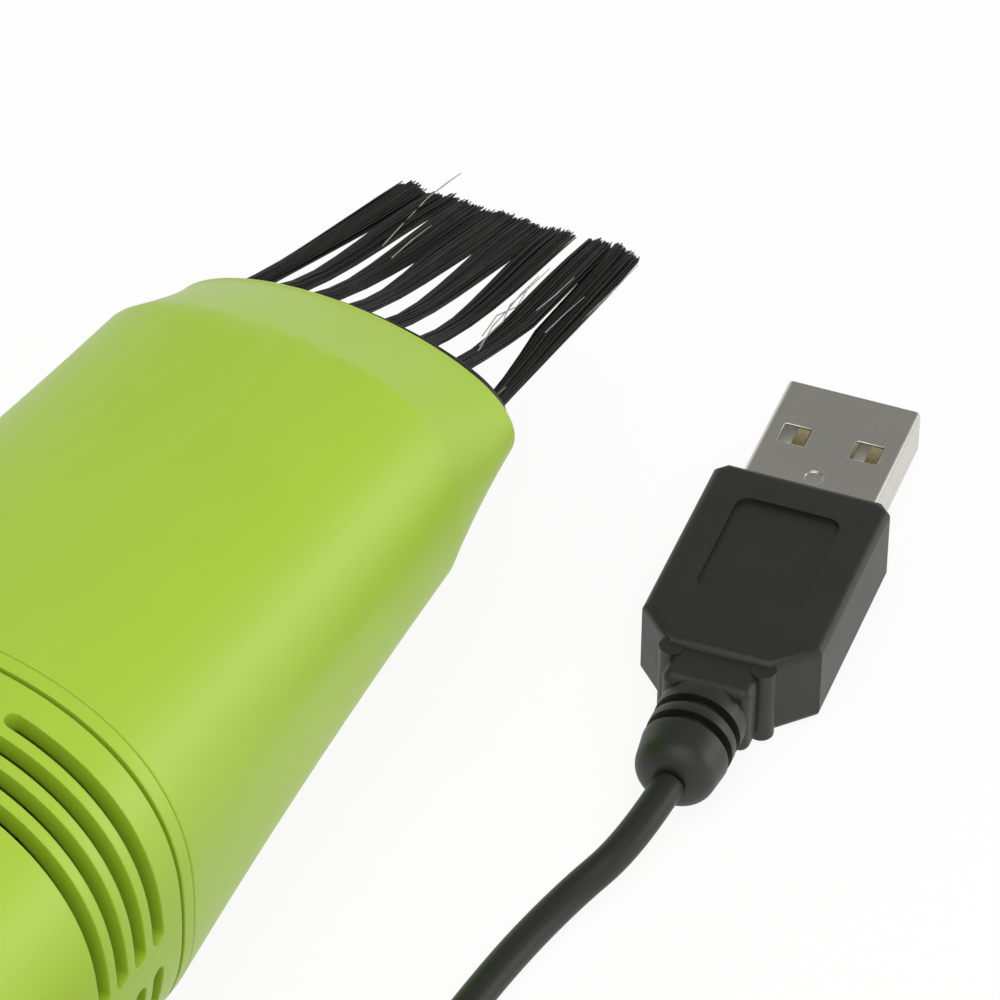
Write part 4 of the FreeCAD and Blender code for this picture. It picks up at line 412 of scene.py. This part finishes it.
def tuft_root(index):
    """Left of the axis and height of a tuft at the front of the holder."""
    y = TUFT_FIRST - index * TUFT_PITCH
    return y, AXIS_HEIGHT + ARCH_HALF_HEIGHT * math.sqrt(1 - (y / ARCH_HALF_WIDTH) ** 2)


def border(index, side, share):
    """Side edge of a tuft at a share of its length; side is 1 for left and -1 for right."""
    gap = index - 1 if side > 0 else index
    if not 0 <= gap < len(GAP_ENDS):
        tip = TIP_BORDERS[0] if side > 0 else TIP_BORDERS[-1]
        root = tuft_root(index)[0] + side * TUFT_RADIUS
        return root + (tip - root) * share
    middle = (tuft_root(gap)[0] + tuft_root(gap + 1)[0]) / 2
    middle += (TIP_BORDERS[gap + 1] - middle) * share
    half = TUFT_PITCH / 2 - TUFT_RADIUS
    if GAP_ENDS[gap] is None:
        return middle - side * (half + (OPEN_GAP - half) * ease(share, 0, OPEN_FROM))
    closed = min(1, share / GAP_ENDS[gap]) ** GAP_BOW
    return middle - side * (half * (1 - closed) - MINGLE * ease(share, MINGLE_FROM, 1))


def tip_ahead(y):
    """How far ahead the trimmed tips stand: a little further on the right."""
    slant = min(1, max(0, (TIP_BORDERS[0] - y) / SLANT_WIDTH))
    corner = ease(-y, CORNER_START, CORNER_END)
    return TRIM_AHEAD + TRIM_SLANT * slant + LONG_CORNER * corner


def strand(verts, faces, line, width):
    """Add a four-sided thread along a line of places, thinner at its end."""
    first = len(verts)
    last = len(line) - 1
    for index, (x, y, z) in enumerate(line):
        half = width / 2 * (1 - TIP_TAPER * ease(index, last - TAPER_RINGS, last))
        for step in range(4):
            angle = math.pi / 2 * step + math.pi / 4
            verts.append(at(x, y + half * math.cos(angle), z + half * math.sin(angle)))
    for ring in range(last):
        for step in range(4):
            a, b = first + 4 * ring + step, first + 4 * ring + (step + 1) % 4
            faces.append((a, b, b + 4, a + 4))
    end = first + 4 * last
    faces.append((end, end + 1, end + 2, end + 3))
    faces.append((first + 3, first + 2, first + 1, first))


def add_piece(name, verts, faces, material, body, replaced):
    """Mesh piece with its material and its place in the machine."""
    mesh = bpy.data.meshes.new(name)
    mesh.from_pydata(verts, [], faces)
    mesh.shade_smooth()
    mesh.materials.append(material)
    made = bpy.data.objects.new(name, mesh)
    bpy.context.scene.collection.objects.link(made)
    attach(made, body)
    if replaced:
        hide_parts(*replaced)
    return made


# drawn nylon filament: near black, with painted sheen: lighter streaks in the colour along the
# tuft stand for filaments that catch the light
black_filament, tree = new_material("black_nylon_filament")
place = node(tree, "ShaderNodeTexCoord")
combed = node(tree, "ShaderNodeMapping", {"Scale": (0.08, 1.0, 1.0)},
              {"Vector": place.outputs["Object"]})
streaks = node(tree, "ShaderNodeTexNoise", {"Scale": pattern(0.5), "Detail": 2.0},
               {"Vector": combed.outputs[0]})
# painted sheen: where the streaks rise, the filament colour turns lighter
painted_sheen = node(tree, "ShaderNodeMapRange", {"From Min": 0.5, "From Max": 0.75},
            {"Value": streaks.outputs[0]})
tint = node(tree, "ShaderNodeMix", {"data_type": "RGBA", 6: colour("0A0A08"), 7: colour("1E1E19")},
            {0: painted_sheen.outputs[0]})
thread = node(tree, "ShaderNodeBsdfPrincipled", {"Roughness": 0.55, "IOR": 1.53},
              {"Base Color": tint.outputs[2]})
node(tree, "ShaderNodeOutputMaterial", links={"Surface": thread.outputs[0]})


def filament(tuft, clump_trims):
    """Places along one filament of a tuft, from inside the holder to its trimmed tip."""
    root_z = tuft_root(tuft)[1]
    reach, angle = math.sqrt(chance.random()), chance.uniform(0, 2 * math.pi)
    across, upward = reach * math.cos(angle), reach * math.sin(angle)
    sway, lift = chance.gauss(0, SWAY), chance.gauss(0, LIFT)
    trim = clump_trims[int((across + 1) / 2 * CLUMPS)] + chance.gauss(0, FILAMENT_TRIM)
    droop = SAG * min(1, max(0, (root_z - SAG_FROM) / SAG_RISE))
    line = []
    for ring in range(RINGS):
        share = ring / (RINGS - 1)
        left, far_side = border(tuft, 1, share), border(tuft, -1, share)
        y = (left + far_side) / 2 + across * (left - far_side) / 2
        y += sway * math.sin(math.pi * share) + sway * share
        middle = root_z + (TIP_HEIGHT - root_z) * share
        middle -= droop * ease(share, 0, SAG_FULL) * (1 - ease(share, SAG_FADES, 1))
        layer = TUFT_RADIUS + (FAN_THICKNESS - TUFT_RADIUS) * ease(share, 0, FANNED_FROM)
        x = HOLDER_FRONT + (tip_ahead(y) + trim - HOLDER_FRONT) * share
        line.append((x, y, middle + upward * layer + lift * share))
    x, y, z = line[0]
    return [(x - ROOT_DEPTH, y, z)] + line


chance = random.Random(8)
verts, faces = [], []
for tuft in range(len(TIP_BORDERS) - 1):
    clump_trims = [chance.uniform(-CLUMP_TRIM, CLUMP_TRIM) for _clump in range(CLUMPS)]
    for _filament in range(FILAMENTS):
        strand(verts, faces, filament(tuft, clump_trims), FILAMENT_WIDTH)
add_piece("bristle_tufts", verts, faces, black_filament, "brush", ["brush_tufts"])


# ------------------------------------------------------------------ loose hairs
# Some filaments have come loose: they bend across the open gap, run beside the outer
# tuft or stand above the tips. Their pale grey colour is painted highlight, the light
# that their black nylon catches.

LOOSE_HAIRS = (
    ((14.4, -9.8, 21.4), (16.7, -10.1, 22.0), (19.2, -9.8, 22.3), (21.4, -10.0, 22.5),
     (23.8, -9.9, 22.4), (26.9, -10.0, 22.2)),
    ((14.4, -9.6, 21.4), (18.5, -9.9, 22.0), (20.3, -10.2, 22.2), (22.2, -9.8, 22.4),
     (24.7, -10.1, 22.4), (28.2, -10.3, 22.2)),
    ((18.0, -9.5, 22.0), (20.5, -9.5, 22.4), (22.3, -10.4, 22.4), (25.2, -10.0, 22.3)),
    ((13.9, -13.2, 20.2), (19.3, -13.8, 19.9), (22.1, -14.4, 20.1), (26.2, -15.1, 20.6),
     (30.1, -15.7, 21.0), (33.4, -16.0, 21.2)),
    ((13.9, -13.3, 20.0), (21.1, -14.5, 19.8), (24.2, -14.9, 20.1), (27.6, -15.4, 20.6),
     (31.4, -15.8, 21.0)),
    ((24.0, 3.6, 21.9), (28.0, 3.7, 21.6), (31.6, 3.4, 21.9), (32.5, 3.0, 22.2),
     (33.5, 2.5, 22.6), (34.4, 1.8, 23.2)),
    ((22.8, -12.0, 22.3), (25.3, -12.5, 22.4), (28.1, -12.7, 22.3)),
    ((21.1, -13.8, 21.9), (23.7, -14.1, 22.0), (26.7, -14.5, 22.0)),
    ((22.6, 1.9, 22.3), (25.5, 1.5, 22.4), (28.0, 1.1, 22.3)),
)
HAIR_WIDTH = 0.11                # thinner than a whole filament

# loose black nylon filament with painted highlight: a pale grey colour in patches stands for the
# light it catches
highlight_filament, tree = new_material("nylon_filament_painted_highlight")
place = node(tree, "ShaderNodeTexCoord")
highlight_patches = node(tree, "ShaderNodeTexNoise", {"Scale": pattern(0.9), "Detail": 2.0},
               {"Vector": place.outputs["Object"]})
# painted highlight: the hairs' colour runs from grey to near white in patches
tint = node(tree, "ShaderNodeMix", {"data_type": "RGBA", 6: colour("55564C"), 7: colour("C9C9BF")},
            {0: highlight_patches.outputs[0]})
thread = node(tree, "ShaderNodeBsdfPrincipled", {"Roughness": 0.5, "IOR": 1.53},
              {"Base Color": tint.outputs[2]})
node(tree, "ShaderNodeOutputMaterial", links={"Surface": thread.outputs[0]})
verts, faces = [], []
for line in LOOSE_HAIRS:
    strand(verts, faces, line, HAIR_WIDTH)
add_piece("loose_hairs", verts, faces, highlight_filament, "brush", None)


# ------------------------------------------------------------------ plug shell
# Folded from nickel-plated steel sheet, with two latch windows and a round dimple on
# each side that hold it in the socket.

# bright nickel over rolled steel: a clear mirror, blurred by fine rolling lines
nickel_sheet, tree = new_material("nickel_plated_sheet")
place = node(tree, "ShaderNodeTexCoord")
rolled = node(tree, "ShaderNodeMapping", {"Scale": (0.05, 1.0, 1.0)},
              {"Vector": place.outputs["Object"]})
lines = node(tree, "ShaderNodeTexNoise", {"Scale": pattern(0.25), "Detail": 3.0},
             {"Vector": rolled.outputs[0]})
stains = node(tree, "ShaderNodeTexNoise", {"Scale": pattern(4), "Detail": 3.0},
              {"Vector": place.outputs["Object"]})
dull = node(tree, "ShaderNodeMapRange", {"To Min": 0.2, "To Max": 0.34},
            {"Value": stains.outputs[0]})
tint = node(tree, "ShaderNodeMix", {"data_type": "RGBA", 6: colour("BDBCB2"), 7: colour("D0CFC6")},
            {0: lines.outputs[0]})
relief = node(tree, "ShaderNodeBump", {"Strength": 0.12, "Distance": 0.01 * MM},
              {"Height": lines.outputs[0]})
sheet = node(tree, "ShaderNodeBsdfPrincipled", {"Metallic": 1.0},
             {"Base Color": tint.outputs[2], "Roughness": dull.outputs[0],
              "Normal": relief.outputs[0]})
node(tree, "ShaderNodeOutputMaterial", links={"Surface": sheet.outputs[0]})
dress(nickel_sheet, "plug_shell")
soften("plug_shell", width=0.12, turn=14)


# ------------------------------------------------------------------ plug tongue
# The tongue that carries the contacts is moulded in white PBT.

# moulded PBT: white, slightly waxy and matt
white_pbt, tree = new_material("white_pbt_moulded")
place = node(tree, "ShaderNodeTexCoord")
wax = node(tree, "ShaderNodeTexNoise", {"Scale": pattern(1.5)},
           {"Vector": place.outputs["Object"]})
tint = node(tree, "ShaderNodeMix", {"data_type": "RGBA", 6: colour("DAD9D0"), 7: colour("E6E5DD")},
            {0: wax.outputs[0]})
skin = node(tree, "ShaderNodeBsdfPrincipled", {"Roughness": 0.4, "IOR": 1.55},
            {"Base Color": tint.outputs[2]})
node(tree, "ShaderNodeOutputMaterial", links={"Surface": skin.outputs[0]})
dress(white_pbt, "plug_tongue")


# ------------------------------------------------------------------ contacts and terminals
# The plug's contacts are stamped from brass and gilt; the motor's tabs and the switch's
# pins are stamped from the same strip.

# gilt brass: warm yellow metal with fine stamping lines
gilt_brass, tree = new_material("gilt_brass_stamped")
place = node(tree, "ShaderNodeTexCoord")
lines = node(tree, "ShaderNodeTexNoise", {"Scale": pattern(0.3), "Detail": 3.0},
             {"Vector": place.outputs["Object"]})
tint = node(tree, "ShaderNodeMix", {"data_type": "RGBA", 6: colour("B9AC84"), 7: colour("CFC4A0")},
            {0: lines.outputs[0]})
dull = node(tree, "ShaderNodeMapRange", {"To Min": 0.22, "To Max": 0.38},
            {"Value": lines.outputs[0]})
metal = node(tree, "ShaderNodeBsdfPrincipled", {"Metallic": 1.0},
             {"Base Color": tint.outputs[2], "Roughness": dull.outputs[0]})
node(tree, "ShaderNodeOutputMaterial", links={"Surface": metal.outputs[0]})
dress(gilt_brass, "plug_contacts", "motor_terminals", "switch_pins")


# ------------------------------------------------------------------ plug grip and tail boot
# Both are moulded straight onto the lead in soft black PVC: the grip with its sunk
# panel and ringed relief, and the ringed boot in the tail.

# soft PVC from an eroded tool: matt charcoal with a fine leathery grain
soft_pvc, tree = new_material("soft_pvc_overmoulded")
place = node(tree, "ShaderNodeTexCoord")
grain = node(tree, "ShaderNodeTexNoise", {"Scale": pattern(0.35), "Detail": 2.0},
             {"Vector": place.outputs["Object"]})
rub = node(tree, "ShaderNodeTexNoise", {"Scale": pattern(5), "Detail": 3.0},
           {"Vector": place.outputs["Object"]})
tint = node(tree, "ShaderNodeMix", {"data_type": "RGBA", 6: colour("141410"), 7: colour("1C1C17")},
            {0: rub.outputs[0]})
dull = node(tree, "ShaderNodeMapRange", {"To Min": 0.42, "To Max": 0.56},
            {"Value": rub.outputs[0]})
relief = node(tree, "ShaderNodeBump", {"Strength": 0.3, "Distance": 0.03 * MM},
              {"Height": grain.outputs[0]})
skin = node(tree, "ShaderNodeBsdfPrincipled", {"IOR": 1.54},
            {"Base Color": tint.outputs[2], "Roughness": dull.outputs[0],
             "Normal": relief.outputs[0]})
node(tree, "ShaderNodeOutputMaterial", links={"Surface": skin.outputs[0]})
dress(soft_pvc, "plug_overmold", "cable_boot")
soften("plug_overmold", width=0.3, clamped=True)
soften("cable_boot", width=0.15)


# ------------------------------------------------------------------ black mouldings
# Switch knob and case, filter frame, impeller and motor plate: small stiff parts
# moulded in black ABS.

# black ABS with an eroded skin: matt and even
black_abs, tree = new_material("black_abs_moulded")
place = node(tree, "ShaderNodeTexCoord")
grain = node(tree, "ShaderNodeTexNoise", {"Scale": pattern(0.3), "Detail": 2.0},
             {"Vector": place.outputs["Object"]})
dull = node(tree, "ShaderNodeMapRange", {"To Min": 0.4, "To Max": 0.55},
            {"Value": grain.outputs[0]})
relief = node(tree, "ShaderNodeBump", {"Strength": 0.25, "Distance": 0.03 * MM},
              {"Height": grain.outputs[0]})
skin = node(tree, "ShaderNodeBsdfPrincipled", {"Base Color": colour("1A1B17"), "IOR": 1.54},
            {"Roughness": dull.outputs[0], "Normal": relief.outputs[0]})
node(tree, "ShaderNodeOutputMaterial", links={"Surface": skin.outputs[0]})
dress(black_abs, "switch_knob", "switch_body", "filter_frame", "impeller", "motor_plate")
soften("switch_knob", width=0.15)
soften("filter_frame", width=0.12)
soften("impeller", width=0.1)


# ------------------------------------------------------------------ filter cloth and seal
# White needle felt stretched behind the frame's bars, and a rubber ring round the spigot.

# needle felt: soft white fibres in no direction
filter_felt, tree = new_material("needle_felt")
place = node(tree, "ShaderNodeTexCoord")
fibres = node(tree, "ShaderNodeTexNoise",
              {"Scale": pattern(0.3), "Detail": 6.0, "Distortion": 1.5},
              {"Vector": place.outputs["Object"]})
tint = node(tree, "ShaderNodeMix", {"data_type": "RGBA", 6: colour("C9C8BF"), 7: colour("EFEEE8")},
            {0: fibres.outputs[0]})
relief = node(tree, "ShaderNodeBump", {"Strength": 0.8, "Distance": 0.15 * MM},
              {"Height": fibres.outputs[0]})
cloth = node(tree, "ShaderNodeBsdfPrincipled", {"Roughness": 0.95, "Sheen Weight": 0.3},
             {"Base Color": tint.outputs[2], "Normal": relief.outputs[0]})
node(tree, "ShaderNodeOutputMaterial", links={"Surface": cloth.outputs[0]})
dress(filter_felt, "filter_cloth")

# moulded nitrile rubber: black, dull, with a trace of talc
seal_rubber, tree = new_material("nitrile_rubber_moulded")
place = node(tree, "ShaderNodeTexCoord")
talc = node(tree, "ShaderNodeTexNoise", {"Scale": pattern(0.8), "Detail": 4.0},
            {"Vector": place.outputs["Object"]})
tint = node(tree, "ShaderNodeMix", {"data_type": "RGBA", 6: colour("1A1A1A"), 7: colour("2E2E2C")},
            {0: talc.outputs[0]})
skin = node(tree, "ShaderNodeBsdfPrincipled", {"Roughness": 0.75}, {"Base Color": tint.outputs[2]})
node(tree, "ShaderNodeOutputMaterial", links={"Surface": skin.outputs[0]})
dress(seal_rubber, "cup_seal")


# ------------------------------------------------------------------ motor steel
# The can is deep-drawn from zinc-plated sheet; shaft, screws and the crimp ring on the
# lead are bright steel too.

# zinc plate: pale grey metal with a faint spangle
zinc_steel, tree = new_material("zinc_plated_steel")
place = node(tree, "ShaderNodeTexCoord")
spangle = node(tree, "ShaderNodeTexVoronoi", {"Scale": pattern(1.6)},
               {"Vector": place.outputs["Object"]})
tint = node(tree, "ShaderNodeMix", {"data_type": "RGBA", 6: colour("A9ABAA"), 7: colour("C4C6C5")},
            {0: spangle.outputs["Distance"]})
dull = node(tree, "ShaderNodeMapRange", {"To Min": 0.3, "To Max": 0.45},
            {"Value": spangle.outputs["Distance"]})
metal = node(tree, "ShaderNodeBsdfPrincipled", {"Metallic": 1.0},
             {"Base Color": tint.outputs[2], "Roughness": dull.outputs[0]})
node(tree, "ShaderNodeOutputMaterial", links={"Surface": metal.outputs[0]})
dress(zinc_steel, "motor_can", "motor_shaft", "housing_screws", "motor_screws", "cable_clamp")
soften("motor_can", width=0.25)
soften("housing_screws", width=0.1)


# ------------------------------------------------------------------ motor end cap
# The cap that closes the can is moulded in grey nylon.

# grey nylon: satin, faintly mottled
grey_nylon, tree = new_material("grey_nylon_moulded")
place = node(tree, "ShaderNodeTexCoord")
mottle = node(tree, "ShaderNodeTexNoise", {"Scale": pattern(2), "Detail": 3.0},
              {"Vector": place.outputs["Object"]})
tint = node(tree, "ShaderNodeMix", {"data_type": "RGBA", 6: colour("6F7072"), 7: colour("7C7D80")},
            {0: mottle.outputs[0]})
skin = node(tree, "ShaderNodeBsdfPrincipled", {"Roughness": 0.45, "IOR": 1.53},
            {"Base Color": tint.outputs[2]})
node(tree, "ShaderNodeOutputMaterial", links={"Surface": skin.outputs[0]})
dress(grey_nylon, "motor_end_cap")


# ------------------------------------------------------------------ bearings
# Two bushes pressed and sintered from bronze powder, soaked in oil.

# sintered bronze: brown metal, dull from its open pores
sintered_bronze, tree = new_material("sintered_bronze")
place = node(tree, "ShaderNodeTexCoord")
pores = node(tree, "ShaderNodeTexNoise", {"Scale": pattern(0.25), "Detail": 4.0},
             {"Vector": place.outputs["Object"]})
relief = node(tree, "ShaderNodeBump", {"Strength": 0.5, "Distance": 0.02 * MM},
              {"Height": pores.outputs[0]})
tint = node(tree, "ShaderNodeMix", {"data_type": "RGBA", 6: colour("8C6B3E"), 7: colour("B08C58")},
            {0: pores.outputs[0]})
metal = node(tree, "ShaderNodeBsdfPrincipled", {"Metallic": 1.0, "Roughness": 0.5},
             {"Base Color": tint.outputs[2], "Normal": relief.outputs[0]})
node(tree, "ShaderNodeOutputMaterial", links={"Surface": metal.outputs[0]})
dress(sintered_bronze, "bearing_front", "bearing_rear")


# ------------------------------------------------------------------ armature
# A stack of stamped steel sheets on the shaft, with a copper commutator behind it.

SHEET = 0.5                      # thickness of the armature's sheets
LATHE_FEED = 0.2                 # from ring to ring on the commutator


def band_scale(pitch):
    """Scale of a wave texture whose bands lie this many millimetres apart."""
    return 2 * math.pi / 20 * pattern(pitch)


# laminated steel: fine dark lines where the half-millimetre sheets meet
laminated_steel, tree = new_material("laminated_core_steel")
place = node(tree, "ShaderNodeTexCoord")
sheets = node(tree, "ShaderNodeTexWave", {"Scale": band_scale(SHEET), "bands_direction": "X"},
              {"Vector": place.outputs["Object"]})
tint = node(tree, "ShaderNodeMix", {"data_type": "RGBA", 6: colour("3E3F41"), 7: colour("8C8E90")},
            {0: sheets.outputs[1]})
metal = node(tree, "ShaderNodeBsdfPrincipled", {"Metallic": 1.0, "Roughness": 0.42},
             {"Base Color": tint.outputs[2]})
node(tree, "ShaderNodeOutputMaterial", links={"Surface": metal.outputs[0]})
dress(laminated_steel, "armature_core")

# turned copper: red metal with fine rings from the lathe
turned_copper, tree = new_material("turned_copper")
place = node(tree, "ShaderNodeTexCoord")
rings = node(tree, "ShaderNodeTexWave",
             {"Scale": band_scale(LATHE_FEED), "bands_direction": "X"},
             {"Vector": place.outputs["Object"]})
tint = node(tree, "ShaderNodeMix", {"data_type": "RGBA", 6: colour("B8704C"), 7: colour("D08A62")},
            {0: rings.outputs[1]})
metal = node(tree, "ShaderNodeBsdfPrincipled", {"Metallic": 1.0, "Roughness": 0.3},
             {"Base Color": tint.outputs[2]})
node(tree, "ShaderNodeOutputMaterial", links={"Surface": metal.outputs[0]})
dress(turned_copper, "commutator")


# ------------------------------------------------------------------ magnets
# Two arcs pressed and fired from ferrite powder.

# ferrite: dark grey ceramic with a matt ground face
pressed_ferrite, tree = new_material("pressed_ferrite")
place = node(tree, "ShaderNodeTexCoord")
powder = node(tree, "ShaderNodeTexNoise", {"Scale": pattern(0.4), "Detail": 4.0},
              {"Vector": place.outputs["Object"]})
tint = node(tree, "ShaderNodeMix", {"data_type": "RGBA", 6: colour("2C2C2F"), 7: colour("424246")},
            {0: powder.outputs[0]})
skin = node(tree, "ShaderNodeBsdfPrincipled", {"Roughness": 0.6}, {"Base Color": tint.outputs[2]})
node(tree, "ShaderNodeOutputMaterial", links={"Surface": skin.outputs[0]})
dress(pressed_ferrite, "motor_magnets")


# ------------------------------------------------------------------ inner leads and tie
# The supply leads are insulated in red PVC and the return in the lead's black; a flat
# woven tie holds the coil together.

WEAVE = 0.5                      # from thread to thread of the tie

# red PVC insulation: smooth, with a soft shine
red_pvc, tree = new_material("red_pvc_extruded")
place = node(tree, "ShaderNodeTexCoord")
patches = node(tree, "ShaderNodeTexNoise", {"Scale": pattern(3)},
               {"Vector": place.outputs["Object"]})
tint = node(tree, "ShaderNodeMix", {"data_type": "RGBA", 6: colour("9E2A20"), 7: colour("B23429")},
            {0: patches.outputs[0]})
skin = node(tree, "ShaderNodeBsdfPrincipled", {"Roughness": 0.35, "IOR": 1.52},
            {"Base Color": tint.outputs[2]})
node(tree, "ShaderNodeOutputMaterial", links={"Surface": skin.outputs[0]})
dress(red_pvc, "lead_supply", "lead_motor")
dress(pvc_extruded, "lead_return", "cable_jacket_end")

# woven nylon tape: black, with a fine crossing weave of half a millimetre
nylon_tape, tree = new_material("nylon_tape_woven")
place = node(tree, "ShaderNodeTexCoord")
warp = node(tree, "ShaderNodeTexWave", {"Scale": band_scale(WEAVE), "bands_direction": "X"},
            {"Vector": place.outputs["Object"]})
weft = node(tree, "ShaderNodeTexWave", {"Scale": band_scale(WEAVE), "bands_direction": "Y"},
            {"Vector": place.outputs["Object"]})
weave = node(tree, "ShaderNodeMath", {"operation": "MULTIPLY"},
             {0: warp.outputs[1], 1: weft.outputs[1]})
relief = node(tree, "ShaderNodeBump", {"Strength": 0.6, "Distance": 0.08 * MM},
              {"Height": weave.outputs[0]})
tint = node(tree, "ShaderNodeMix", {"data_type": "RGBA", 6: colour("161614"), 7: colour("2E2E2A")},
            {0: weave.outputs[0]})
cloth = node(tree, "ShaderNodeBsdfPrincipled", {"Roughness": 0.7},
             {"Base Color": tint.outputs[2], "Normal": relief.outputs[0]})
node(tree, "ShaderNodeOutputMaterial", links={"Surface": cloth.outputs[0]})
dress(nylon_tape, "coil_tie")
soften("coil_tie", width=0.25)
